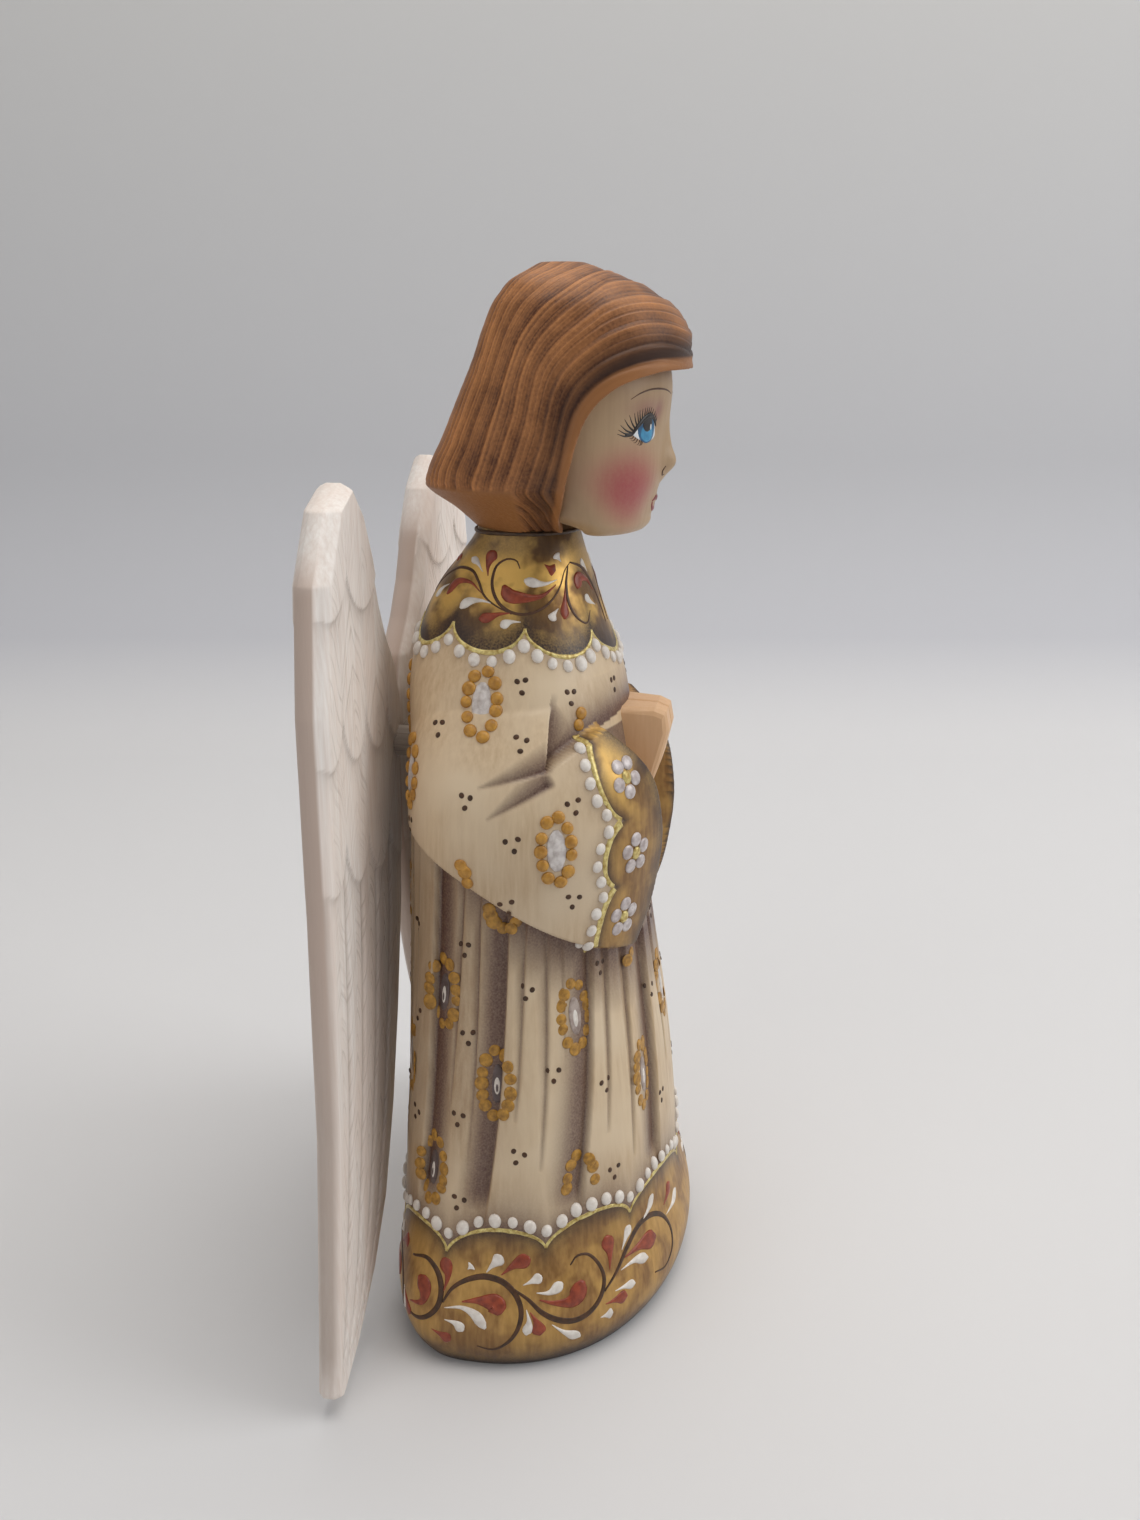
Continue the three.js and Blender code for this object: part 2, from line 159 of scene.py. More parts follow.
def makePiece(name, points, faces, material, body, marks=None):
    mesh = bpy.data.meshes.new(name)
    mesh.from_pydata((np.asarray(points, float) * mm).tolist(), [], faces)
    mesh.polygons.foreach_set("use_smooth", [True] * len(mesh.polygons))
    for key, values in (marks or {}).items():
        mesh.attributes.new(key, "FLOAT", "POINT").data.foreach_set("value", np.asarray(values, np.float32))
    mesh.materials.append(material)
    piece = bpy.data.objects.new(name, mesh)
    bpy.context.scene.collection.objects.link(piece)
    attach(piece, body)
    return piece


def makeGridPiece(name, grid, material, body, marks=None):
    # a closed skin over the grid, with its two ends filled from their middles
    rows, columns = grid.shape[:2]
    points = np.concatenate([grid.reshape(-1, 3), [grid[0].mean(0), grid[-1].mean(0)]])
    full = {}
    for key, values in (marks or {}).items():
        full[key] = np.concatenate([values.reshape(-1), [values[0].mean(), values[-1].mean()]])
    return makePiece(name, points, gridFaces(rows, columns), material, body, full)


# Finishes

def addNode(tree, kind, settings, links=None, out=0):
    # one node with its settings and incoming links; gives back the output that is wanted
    node = tree.nodes.new("ShaderNode" + kind)
    for key, value in settings.items():
        if isinstance(key, int) or key in node.inputs:
            node.inputs[key].default_value = value
        else:
            setattr(node, key, value)
    for key, source in (links or {}).items():
        tree.links.new(source, node.inputs[key])
    return node.outputs[out] if node.outputs else node


def newFinish(name, settings):
    material = bpy.data.materials.new(name)
    material.use_nodes = True
    tree = material.node_tree
    tree.nodes.clear()
    surface = addNode(tree, "BsdfPrincipled", settings)
    addNode(tree, "OutputMaterial", {}, {"Surface": surface})
    place = addNode(tree, "TexCoord", {}, out="Object")
    return material, tree, surface.node.inputs, place


def lacqueredRobe():
    # Thin cream paint rubbed into linden, so that the upright fibre shows; purple-brown painted shade in the
    # folds, creases and under the arms, partly the figure's own airbrushing.
    # The gold ground is bronze powder over ochre: bright patches that are partly uneven powder and partly
    # painted highlight, scorched edges with painted shade under the hair and the face, satin lacquer.
    material, tree, shader, place = newFinish("lacqueredLindenRobe",
                                                {"Coat Weight": 0.15, "Coat Roughness": 0.3})
    upright = addNode(tree, "Mapping", {"Scale": perMm(0.9, 0.9, 14)}, {"Vector": place})
    fibre = addNode(tree, "TexNoise", {"Scale": 1.0, "Detail": 4.0, "Roughness": 0.6}, {"Vector": upright})
    fibreShare = addNode(tree, "MapRange", {"From Min": 0.35, "From Max": 0.7}, {"Value": fibre})
    cloud = addNode(tree, "TexNoise", {"Scale": perMm(16)[0], "Detail": 2.0}, {"Vector": place})
    cloudShare = addNode(tree, "MapRange", {"From Min": 0.38, "From Max": 0.7}, {"Value": cloud})
    spray = addNode(tree, "TexNoise", {"Scale": perMm(0.35)[0], "Detail": 2.0}, {"Vector": place})
    speckle = addNode(tree, "MapRange", {"From Min": 0.25, "From Max": 0.75, "To Min": 0.84, "To Max": 1.12},
                      {"Value": spray})
    brushed = addNode(tree, "Mapping", {"Scale": perMm(0.9, 0.9, 6)}, {"Vector": place})
    flake = addNode(tree, "TexNoise", {"Scale": 1.0, "Detail": 5.0}, {"Vector": brushed})
    flakeShare = addNode(tree, "MapRange", {"From Min": 0.38, "From Max": 0.68}, {"Value": flake})
    wide = addNode(tree, "TexNoise", {"Scale": perMm(6.5)[0], "Detail": 3.0}, {"Vector": place})
    wideShare = addNode(tree, "MapRange", {"From Min": 0.42, "From Max": 0.56}, {"Value": wide})
    shade, gold, scorchAndShade, leaf = [addNode(tree, "Attribute", {"attribute_name": key}, out=2)
                                for key in ("shade", "gold", "scorchAndShade", "leaf")]
    shade = addNode(tree, "Math", {"operation": "MULTIPLY", "use_clamp": True}, {0: shade, 1: speckle})
    scorchAndShade = addNode(tree, "Math", {"operation": "MULTIPLY", "use_clamp": True}, {0: scorchAndShade, 1: speckle})
    cream = addNode(tree, "Mix", {"data_type": "RGBA", 6: toLinear("#d6be9b"), 7: toLinear("#c2a682")},
                    {0: fibreShare}, 2)
    cream = addNode(tree, "Mix", {"data_type": "RGBA", 7: toLinear("#dcc7a8")}, {0: cloudShare, 6: cream}, 2)
    # painted shade: purple-brown wherever the shade mark is
    cream = addNode(tree, "Mix", {"data_type": "RGBA", 7: toLinear("#5b3d36")}, {0: shade, 6: cream}, 2)
    ochre = addNode(tree, "Mix", {"data_type": "RGBA", 6: toLinear("#8a622f"), 7: toLinear("#aa8148")},
                    {0: flakeShare}, 2)
    # bright patches on the gold: partly painted highlight for the glint of the metal, partly uneven powder
    bright = addNode(tree, "Math", {"operation": "MULTIPLY"}, {0: wideShare, 1: leaf})
    worn = addNode(tree, "MapRange", {"From Min": 0.5, "From Max": 0.36, "To Max": 0.55}, {"Value": wide})
    worn = addNode(tree, "Math", {"operation": "MULTIPLY"}, {0: worn, 1: leaf})
    ochre = addNode(tree, "Mix", {"data_type": "RGBA", 7: toLinear("#5c3f1b")}, {0: worn, 6: ochre}, 2)
    ochre = addNode(tree, "Mix", {"data_type": "RGBA", 7: toLinear("#efc168")}, {0: bright, 6: ochre}, 2)
    # scorched brown on the gold, with painted shade under the hair and the face
    ochre = addNode(tree, "Mix", {"data_type": "RGBA", 7: toLinear("#2c1a12")}, {0: scorchAndShade, 6: ochre}, 2)
    colour = addNode(tree, "Mix", {"data_type": "RGBA"}, {0: gold, 6: cream, 7: ochre}, 2)
    tree.links.new(colour, shader["Base Color"])
    unscorchedUnshaded = addNode(tree, "MapRange", {"From Max": 0.7, "To Min": 0.55, "To Max": 0.0}, {"Value": scorchAndShade})
    gilt = addNode(tree, "Math", {"operation": "MULTIPLY"}, {0: gold, 1: leaf})
    gilt = addNode(tree, "Math", {"operation": "MULTIPLY"}, {0: gilt, 1: unscorchedUnshaded})
    tree.links.new(gilt, shader["Metallic"])
    dull = addNode(tree, "MapRange", {"From Min": 0.3, "From Max": 0.7, "To Min": 0.36, "To Max": 0.5},
                   {"Value": fibre})
    tree.links.new(dull, shader["Roughness"])
    bump = addNode(tree, "Bump", {"Strength": 0.5, "Distance": 0.05 * mm}, {"Height": fibre})
    tree.links.new(bump, shader["Normal"])
    return material


def stainedHair():
    # Spirit stain brushed along gouged strands of linden, under satin lacquer:
    # dark in the hollows, orange wood on the crests.
    material, tree, shader, place = newFinish("stainedLindenHair", {"Specular IOR Level": 0.3})
    strand, dusk, bare, lane = [addNode(tree, "Attribute", {"attribute_name": key}, out=2)
                                for key in ("strand", "dusk", "bare", "lane")]
    # lane is in millimetres across the strands, so this noise is fine streaks 0.4 mm wide
    streak = addNode(tree, "TexNoise", {"noise_dimensions": "1D", "Scale": 2.4, "Detail": 3.0}, {"W": lane})
    streakShare = addNode(tree, "MapRange", {"From Min": 0.35, "From Max": 0.65,
                                             "To Min": -0.1, "To Max": 0.1},
                          {"Value": streak})
    grit = addNode(tree, "TexNoise", {"Scale": perMm(0.5)[0], "Detail": 3.0}, {"Vector": place})
    gritShare = addNode(tree, "MapRange", {"From Min": 0.3, "From Max": 0.7,
                                           "To Min": -0.12, "To Max": 0.12},
                        {"Value": grit})
    broad = addNode(tree, "TexNoise", {"Scale": perMm(9)[0], "Detail": 2.0}, {"Vector": place})
    broadShare = addNode(tree, "MapRange", {"From Min": 0.3, "From Max": 0.7,
                                            "To Min": -0.24, "To Max": 0.24},
                         {"Value": broad})
    crest = addNode(tree, "Math", {"operation": "ADD"}, {0: strand, 1: streakShare})
    crest = addNode(tree, "Math", {"operation": "ADD"}, {0: crest, 1: broadShare})
    crest = addNode(tree, "Math", {"operation": "ADD", "use_clamp": True}, {0: crest, 1: gritShare})
    wood = addNode(tree, "Mix", {"data_type": "RGBA", 6: toLinear("#56321f"), 7: toLinear("#cf8d56")},
                   {0: crest}, 2)
    wood = addNode(tree, "Mix", {"data_type": "RGBA", 7: toLinear("#2f1b13")}, {0: dusk, 6: wood}, 2)
    plain = addNode(tree, "Mix", {"data_type": "RGBA", 6: toLinear("#9f6c40"), 7: toLinear("#885a35")},
                    {0: grit}, 2)
    wood = addNode(tree, "Mix", {"data_type": "RGBA"}, {0: bare, 6: wood, 7: plain}, 2)
    tree.links.new(wood, shader["Base Color"])
    dull = addNode(tree, "MapRange", {"From Min": 0.3, "From Max": 0.7, "To Min": 0.38, "To Max": 0.52},
                   {"Value": grit})
    tree.links.new(dull, shader["Roughness"])
    bump = addNode(tree, "Bump", {"Strength": 0.6, "Distance": 0.1 * mm}, {"Height": streak})
    tree.links.new(bump, shader["Normal"])
    return material


def paintedFace():
    # Smooth flesh paint over barely visible fibre, with powdered rose cheeks and mauve round the eyes,
    # and painted shade along the hairline and up under the fringe.
    material, tree, shader, place = newFinish("paintedLindenFace",
                                                {"Coat Weight": 0.12, "Coat Roughness": 0.3})
    upright = addNode(tree, "Mapping", {"Scale": perMm(1, 1, 12)}, {"Vector": place})
    fibre = addNode(tree, "TexNoise", {"Scale": 1.0, "Detail": 4.0, "Roughness": 0.6}, {"Vector": upright})
    powder = addNode(tree, "TexNoise", {"Scale": perMm(0.5)[0], "Detail": 3.0}, {"Vector": place})
    speckle = addNode(tree, "MapRange", {"From Min": 0.25, "From Max": 0.75, "To Min": 0.88, "To Max": 1.08},
                      {"Value": powder})
    blush, lid, dusk = [addNode(tree, "Attribute", {"attribute_name": key}, out=2)
                        for key in ("blush", "lid", "dusk")]
    blush = addNode(tree, "Math", {"operation": "MULTIPLY", "use_clamp": True}, {0: blush, 1: speckle})
    skin = addNode(tree, "Mix", {"data_type": "RGBA", 6: toLinear("#b99d7a"), 7: toLinear("#a88c6b")},
                   {0: fibre}, 2)
    skin = addNode(tree, "Mix", {"data_type": "RGBA", 7: toLinear("#a23f47")}, {0: blush, 6: skin}, 2)
    skin = addNode(tree, "Mix", {"data_type": "RGBA", 7: toLinear("#8a5350")}, {0: lid, 6: skin}, 2)
    # painted shade along the hairline
    skin = addNode(tree, "Mix", {"data_type": "RGBA", 7: toLinear("#6d4c33")}, {0: dusk, 6: skin}, 2)
    tree.links.new(skin, shader["Base Color"])
    dull = addNode(tree, "MapRange", {"From Min": 0.3, "From Max": 0.7, "To Min": 0.4, "To Max": 0.5},
                   {"Value": fibre})
    tree.links.new(dull, shader["Roughness"])
    bump = addNode(tree, "Bump", {"Strength": 0.4, "Distance": 0.03 * mm}, {"Height": fibre})
    tree.links.new(bump, shader["Normal"])
    return material


def whitewashedWing():
    # Thin matt whitewash on knife-cut linden: pinkish wood shows through, grey-brown stays in the cut barbs.
    # Painted shadow lies under each tier of feathers, and painted shade on the edge strip of the board.
    material, tree, shader, place = newFinish("whitewashedLinden", {"Specular IOR Level": 0.35})
    upright = addNode(tree, "Mapping", {"Scale": perMm(0.7, 0.7, 16)}, {"Vector": place})
    fibre = addNode(tree, "TexNoise", {"Scale": 1.0, "Detail": 5.0, "Roughness": 0.6}, {"Vector": upright})
    fibreShare = addNode(tree, "MapRange", {"From Min": 0.35, "From Max": 0.72}, {"Value": fibre})
    broad = addNode(tree, "Mapping", {"Scale": perMm(7, 7, 30)}, {"Vector": place})
    cloud = addNode(tree, "TexNoise", {"Scale": 1.0, "Detail": 2.0}, {"Vector": broad})
    cloudShare = addNode(tree, "MapRange", {"From Min": 0.4, "From Max": 0.7, "To Max": 0.6},
                         {"Value": cloud})
    cutAndShadow, boardEdgeShade, barb, vane = [addNode(tree, "Attribute", {"attribute_name": key}, out=2)
                            for key in ("cutAndShadow", "boardEdgeShade", "barb", "vane")]
    # barb counts knife strokes, 1.5 mm apart on the feather, so this noise is one uneven line per stroke
    knife = addNode(tree, "TexNoise", {"noise_dimensions": "1D", "Scale": 1.5, "Detail": 2.0}, {"W": barb})
    knifeShare = addNode(tree, "MapRange", {"From Min": 0.52, "From Max": 0.7}, {"Value": knife})
    broken = addNode(tree, "TexNoise", {"Scale": perMm(5)[0], "Detail": 2.0}, {"Vector": place})
    brokenShare = addNode(tree, "MapRange", {"From Min": 0.35, "From Max": 0.6, "To Min": 0.25},
                          {"Value": broken})
    line = addNode(tree, "Math", {"operation": "MULTIPLY"}, {0: knifeShare, 1: brokenShare})
    line = addNode(tree, "Math", {"operation": "MULTIPLY"}, {0: line, 1: vane})
    wash = addNode(tree, "Mix", {"data_type": "RGBA", 6: toLinear("#f6f0ea"), 7: toLinear("#e6dad1")},
                   {0: fibreShare}, 2)
    wash = addNode(tree, "Mix", {"data_type": "RGBA", 7: toLinear("#ead9cd")}, {0: cloudShare, 6: wash}, 2)
    lineTone = addNode(tree, "MapRange", {"To Max": 0.3}, {"Value": line})
    wash = addNode(tree, "Mix", {"data_type": "RGBA", 7: toLinear("#a8978b")}, {0: lineTone, 6: wash}, 2)
    # grey-brown in the cuts, and painted shadow under each tier of feathers
    wash = addNode(tree, "Mix", {"data_type": "RGBA", 7: toLinear("#a8988c")}, {0: cutAndShadow, 6: wash}, 2)
    # painted shade on the edge strip of the board
    wash = addNode(tree, "Mix", {"data_type": "RGBA", 7: toLinear("#c9b5a8")}, {0: boardEdgeShade, 6: wash}, 2)
    tree.links.new(wash, shader["Base Color"])
    dull = addNode(tree, "MapRange", {"From Min": 0.3, "From Max": 0.7, "To Min": 0.62, "To Max": 0.8},
                   {"Value": fibre})
    tree.links.new(dull, shader["Roughness"])
    carved = addNode(tree, "Bump", {"Strength": 0.5, "Distance": 0.3 * mm, "invert": True}, {"Height": line})
    bump = addNode(tree, "Bump", {"Strength": 0.6, "Distance": 0.12 * mm},
                   {"Height": fibre, "Normal": carved})
    tree.links.new(bump, shader["Normal"])
    return material


def plainWood(name, light, dark, scale, roughness):
    # Bare or thinly painted wood: fibre 0.5 to 1 mm wide, drawn out along the grain.
    material, tree, shader, place = newFinish(name, {})
    drawn = addNode(tree, "Mapping", {"Scale": perMm(*scale)}, {"Vector": place})
    fibre = addNode(tree, "TexNoise", {"Scale": 1.0, "Detail": 4.0, "Roughness": 0.6}, {"Vector": drawn})
    share = addNode(tree, "MapRange", {"From Min": 0.3, "From Max": 0.7}, {"Value": fibre})
    colour = addNode(tree, "Mix", {"data_type": "RGBA", 6: toLinear(light), 7: toLinear(dark)}, {0: share}, 2)
    tree.links.new(colour, shader["Base Color"])
    dull = addNode(tree, "MapRange", {"To Min": roughness - 0.08, "To Max": roughness + 0.08},
                   {"Value": fibre})
    tree.links.new(dull, shader["Roughness"])
    bump = addNode(tree, "Bump", {"Strength": 0.5, "Distance": 0.06 * mm}, {"Height": fibre})
    tree.links.new(bump, shader["Normal"])
    return material


def brushPaint(name, light, dark, roughness, metallic=0.0, patchMm=1.2):
    # Thick brush paint: slightly uneven colour where the layer is thinner, soft gloss.
    material, tree, shader, place = newFinish(name, {"Metallic": metallic})
    patch = addNode(tree, "TexNoise", {"Scale": perMm(patchMm)[0], "Detail": 3.0}, {"Vector": place})
    share = addNode(tree, "MapRange", {"From Min": 0.35, "From Max": 0.68}, {"Value": patch})
    colour = addNode(tree, "Mix", {"data_type": "RGBA", 6: toLinear(light), 7: toLinear(dark)}, {0: share}, 2)
    tree.links.new(colour, shader["Base Color"])
    dull = addNode(tree, "MapRange", {"To Min": roughness - 0.08, "To Max": roughness + 0.1},
                   {"Value": patch})
    tree.links.new(dull, shader["Roughness"])
    bump = addNode(tree, "Bump", {"Strength": 0.4, "Distance": 0.04 * mm}, {"Height": patch})
    tree.links.new(bump, shader["Normal"])
    return material


robeFinish = lacqueredRobe()
hairFinish = stainedHair()
faceFinish = paintedFace()
wingFinish = whitewashedWing()
handFinish = plainWood("paintedLindenHand", "#dfb68c", "#d8ad82", (0.9, 0.9, 10), 0.48)
dowelFinish = plainWood("birchDowel", "#8d8178", "#b3a699", (0.5, 8, 0.5), 0.7)
pearlPaint = brushPaint("pearlWhitePaint", "#ece6de", "#d6cdc3", 0.34)
palePaint = brushPaint("thinWhitePaint", "#dcd6d2", "#b3a9a4", 0.4)
ochrePaint = brushPaint("ochrePaint", "#c9953f", "#a17028", 0.36)
washPaint = brushPaint("thinOchrePaint", "#c08f3a", "#8c6428", 0.42, patchMm=0.9)
redPaint = brushPaint("ironRedPaint", "#9f482d", "#7c3422", 0.34)
umberPaint = brushPaint("darkUmberPaint", "#38230f", "#55351c", 0.42)
foilPaint = brushPaint("goldFoilLine", "#e6d68f", "#a98b45", 0.3, 0.3, 0.8)
greyPaint = brushPaint("greyVioletPaint", "#6d5f5e", "#544744", 0.42)
hazePaint = brushPaint("thinGreyPaint", "#b3a49b", "#8f7d74", 0.42)
lustrePaint = brushPaint("pearlLustrePaint", "#d7cfce", "#a99c99", 0.3, 0.15)
eyeWhitePaint = brushPaint("eyeWhitePaint", "#eef1f2", "#dfe4e6", 0.3)
irisPaint = brushPaint("deepBluePaint", "#2a6a94", "#205178", 0.3)
irisCorePaint = brushPaint("skyBluePaint", "#4b9cc4", "#3a84ae", 0.3)
blackPaint = brushPaint("blackPaint", "#15110f", "#231b17", 0.32)
browPaint = brushPaint("brownLinePaint", "#5a3a22", "#472c1a", 0.42)
lipPaint = brushPaint("lipRedPaint", "#8f3d3c", "#6f2b2c", 0.36)
gluePaint = brushPaint("woodGlueBead", "#4f3822", "#2e2016", 0.45)
print("finishes ready")


# The robe: one carved skin with the sleeves standing proud of it

robe = {
    "columns": 720, "rows": 470, "front": 2.1, "rear": 3.2,
    # the ring that turns are counted on: half width, front, rear, middle
    "turnRing": (33.2, 25.4, -23.9, 0),
    # height, half width, front, rear, middle
    "stations": [
        (0, 40.2, 28, -20.2, -4), (1.2, 41, 28.8, -21, -4), (24, 37, 27.6, -23.2, -1),
        (48, 33.1, 25.5, -22.4, 0), (75, 28.3, 21.6, -21.9, -1), (100, 27, 19.2, -21.1, -2),
        (112, 25.4, 17.4, -20.9, -3), (121, 22.2, 15.8, -21.2, -3), (129, 18.2, 13.1, -19.9, -3),
        (137, 14, 10.5, -16.2, -2), (142, 11.6, 8.9, -12.5, -1), (146, 10.2, 7.8, -9.8, 0),
        (148, 9.6, 7.4, -9.2, 0),
    ],
    "sleeveStations": [
        (70, 29.6, 22.8, -21.4, -1), (84, 31.2, 25.2, -21.2, -1.5), (97, 31.6, 26.2, -20.9, -2),
        (108, 29.4, 24, -20.6, -2.5), (116, 25, 18.8, -20.4, -3), (124, 19.2, 13.8, -19.8, -3),
    ],
    "sleeveTop": 123.8,
    "sleeveLower": [(-28, 100), (-20, 97.4), (-11.5, 92.6), (1, 84.6), (13, 77.4), (20.6, 73.4), (26, 71.4)],
    "forearmTop": [(7.2, 109.4), (13, 113), (19.6, 116), (26, 117)],
    "upperArmFront": [(109.4, 7.2), (116, 6.8), (122, 6.2), (127, 3)],
    "cuffGap": [(69, 16.4), (78, 12), (87, 10), (97, 10.4), (104, 11.6), (111.6, 15), (119, 18.5)],
    "edgeSoftness": 0.35,
    # deep folds of one side: turn at the top, turn at the hem, width in turns, strength,
    # 1 if the dark side is behind the edge and -1 if it is ahead
    "folds": [
        (0.044, 0.058, 0.046, 0.95, 1), (0.144, 0.168, 0.044, 0.9, 1), (0.238, 0.255, 0.040, 0.95, 1),
        (0.322, 0.333, 0.042, 1.0, -1), (0.398, 0.404, 0.036, 0.85, -1), (0.456, 0.460, 0.034, 0.9, -1),
    ],
    # gouged pleats between them: turn at the top, turn at the end, height of the end, strength
    "gouges": [
        (0.012, 0.018, 44, 0.82), (0.094, 0.108, 34, 0.97), (0.124, 0.141, 41, 0.97), (0.18, 0.186, 38, 0.62),
        (0.196, 0.209, 37, 0.87), (0.22, 0.233, 46, 0.92), (0.268, 0.28, 32, 1), (0.288, 0.303, 41, 1),
        (0.352, 0.364, 36, 0.82), (0.374, 0.384, 46, 0.92), (0.425, 0.432, 38, 0.92), (0.48, 0.486, 44, 0.82),
    ],
    "foldDepth": 1.7, "gougeDepth": 0.9, "gougeWidth": 0.016,
    "foldTop": 76, "foldFoot": 34, "hemFade": (25, 33),
    "collarCusps": [0.081, 0.208, 0.31, 0.405, 0.5], "collarDrop": 4.3,
    "collarValley": [(0, 129), (0.081, 129.8), (0.208, 131.4), (0.31, 132.1), (0.5, 132.6)],
    "hemCusps": [0.0, 0.117, 0.202, 0.294, 0.378, 0.46], "hemRise": 4.4,
    "hemValley": [(0, 20.6), (0.117, 23.1), (0.202, 22.3), (0.294, 20.5), (0.378, 19.6), (0.5, 19.2)],
    # rounds of the cuff border: upper height, lower height, turn at each end, bulge
    "cuffRounds": [(116.5, 99.4, 0.128, 0.123, 0.023), (99.4, 87.6, 0.123, 0.131, 0.019),
                   (87.6, 70.5, 0.131, 0.141, 0.013)],
    # millimetres round the figure for one turn: at the cuff's edge, on the sleeves, on the skirt
    "cuffGirth": 182.0, "sleeveGirth": 195.0, "skirtGirth": 176.0,
}


def arch(u):
    # 0 at the cusps and 1 in the middle of a round
    return np.maximum(1 - (2 * u - 1) ** 2, 0) ** 0.6


def roundEnds(cusps):
    ends = np.array(sorted({round(c % 1, 6) for c in cusps} | {round(-c % 1, 6) for c in cusps}))
    return np.concatenate([[ends[-1] - 1], ends, [ends[0] + 1]])


def scallops(turn, cusps):
    ends = roundEnds(cusps)
    k = np.clip(np.searchsorted(ends, turn % 1.0, side="right") - 1, 0, len(ends) - 2)
    return arch((turn % 1.0 - ends[k]) / (ends[k + 1] - ends[k]))


def fromFront(turn):
    return np.minimum(turn % 1.0, 1 - turn % 1.0)


def collarEdge(turn):
    valley = np.interp(fromFront(turn), *zip(*robe["collarValley"]))
    return valley - robe["collarDrop"] * scallops(turn, robe["collarCusps"])


def hemEdge(turn):
    valley = np.interp(fromFront(turn), *zip(*robe["hemValley"]))
    return valley + robe["hemRise"] * scallops(turn, robe["hemCusps"])


def cuffEdge(height):
    edge = np.full(np.shape(height), 0.128)
    for high, low, first, last, bulge in robe["cuffRounds"]:
        u = np.clip((high - height) / (high - low), 0, 1)
        here = (height <= high) & (height >= low)
        edge = np.where(here, first + (last - first) * u + bulge * arch(u), edge)
    return edge


# creases on the arm in side view: start, end (ahead, height), reach below, reach above, strength
armCreases = [
    ((7.0, 109.3), (-4.4, 106.7), 0.3, 4.6, 1.0),
    ((7.6, 107.0), (-2.8, 101.6), 0.3, 5.0, 1.0),
]


def creases(ahead, height, sharpen=1.0):
    # a crease is dark along its lower lip and fades upwards and towards its end; the dark is painted shade,
    # partly the figure's own brushwork
    total = np.zeros_like(ahead)
    for (a0, h0), (a1, h1), below, above, strength in armCreases:
        span = math.hypot(a1 - a0, h1 - h0)
        da, dh = (a1 - a0) / span, (h1 - h0) / span
        along = ((ahead - a0) * da + (height - h0) * dh) / span
        over = (ahead - a0) * dh - (height - h0) * da
        taper = np.clip(1 - along, 0, 1) ** 0.7 * smooth(-0.08, 0.03, along)
        reach = above * np.clip(1 - along, 0.05, 1) / sharpen
        lip = np.where(over < 0, np.exp(-(over / below) ** 2), np.clip(1 - over / reach, 0, 1) ** 1.4)
        total = np.maximum(total, strength * taper * lip)
    return total


def pleats(turns, z):
    # depth and darkness of the pleats, the darkness being painted shade, partly the figure's own airbrushing:
    # deep folds run the whole way down, gouges taper out above the hem
    half = fromFront(turns)
    down = np.clip((robe["foldTop"] - z) / (robe["foldTop"] - robe["foldFoot"]), -0.6, 1.2)
    depth = np.zeros_like(half)
    dark = np.zeros_like(half)
    for top, foot, width, strength, facing in robe["folds"]:
        away = (half - (top + (foot - top) * down)) * facing
        lip = strength * smooth(-0.0016, 0.0016, away)
        depth = np.maximum(depth, robe["foldDepth"] * lip * np.clip(1 - away / width, 0, 1) ** 1.4)
        dark = np.maximum(dark, lip * (1 - smooth(0.011, width, away)))
    for top, foot, end, strength in robe["gouges"]:
        share = np.clip((robe["foldTop"] - z) / (robe["foldTop"] - end), -0.6, 1)
        away = half - (top + (foot - top) * share)
        fade = np.clip((z - end) / 34, 0, 1)
        width = robe["gougeWidth"] * (0.2 + 0.8 * fade)
        lip = strength * fade ** 0.28 * smooth(-0.0022, 0.0012, away) * (z > end)
        depth = np.maximum(depth, robe["gougeDepth"] * lip * np.clip(1 - away / width, 0, 1) ** 1.3)
        line = np.exp(-(away / 0.0032) ** 2)
        dark = np.maximum(dark, lip * np.maximum(line, 0.7 * np.clip(1 - away / width, 0, 1)))
    return depth, dark


def sleeveShape(arm):
    # millimetres inside each edge of the sleeve, seen from the side or, for the cuff opening, from ahead
    ahead, side, z = -arm[..., 1], np.abs(arm[..., 0]), arm[..., 2]
    lower = curveThrough(*zip(*robe["sleeveLower"]))(ahead)
    forearm = curveThrough(*zip(*robe["forearmTop"]))(ahead) - z
    upperArm = curveThrough(*zip(*robe["upperArmFront"]))(z) - ahead
    gap = curveThrough(*zip(*robe["cuffGap"]))(z)
    inside = np.minimum((z - lower) * 0.85, np.maximum(forearm * 0.85, upperArm))
    inside = np.minimum(np.minimum(inside, (side - gap) * 0.5), robe["sleeveTop"] - z)
    return {"lower": lower, "forearm": forearm, "upperArm": upperArm, "gap": gap, "inside": inside}


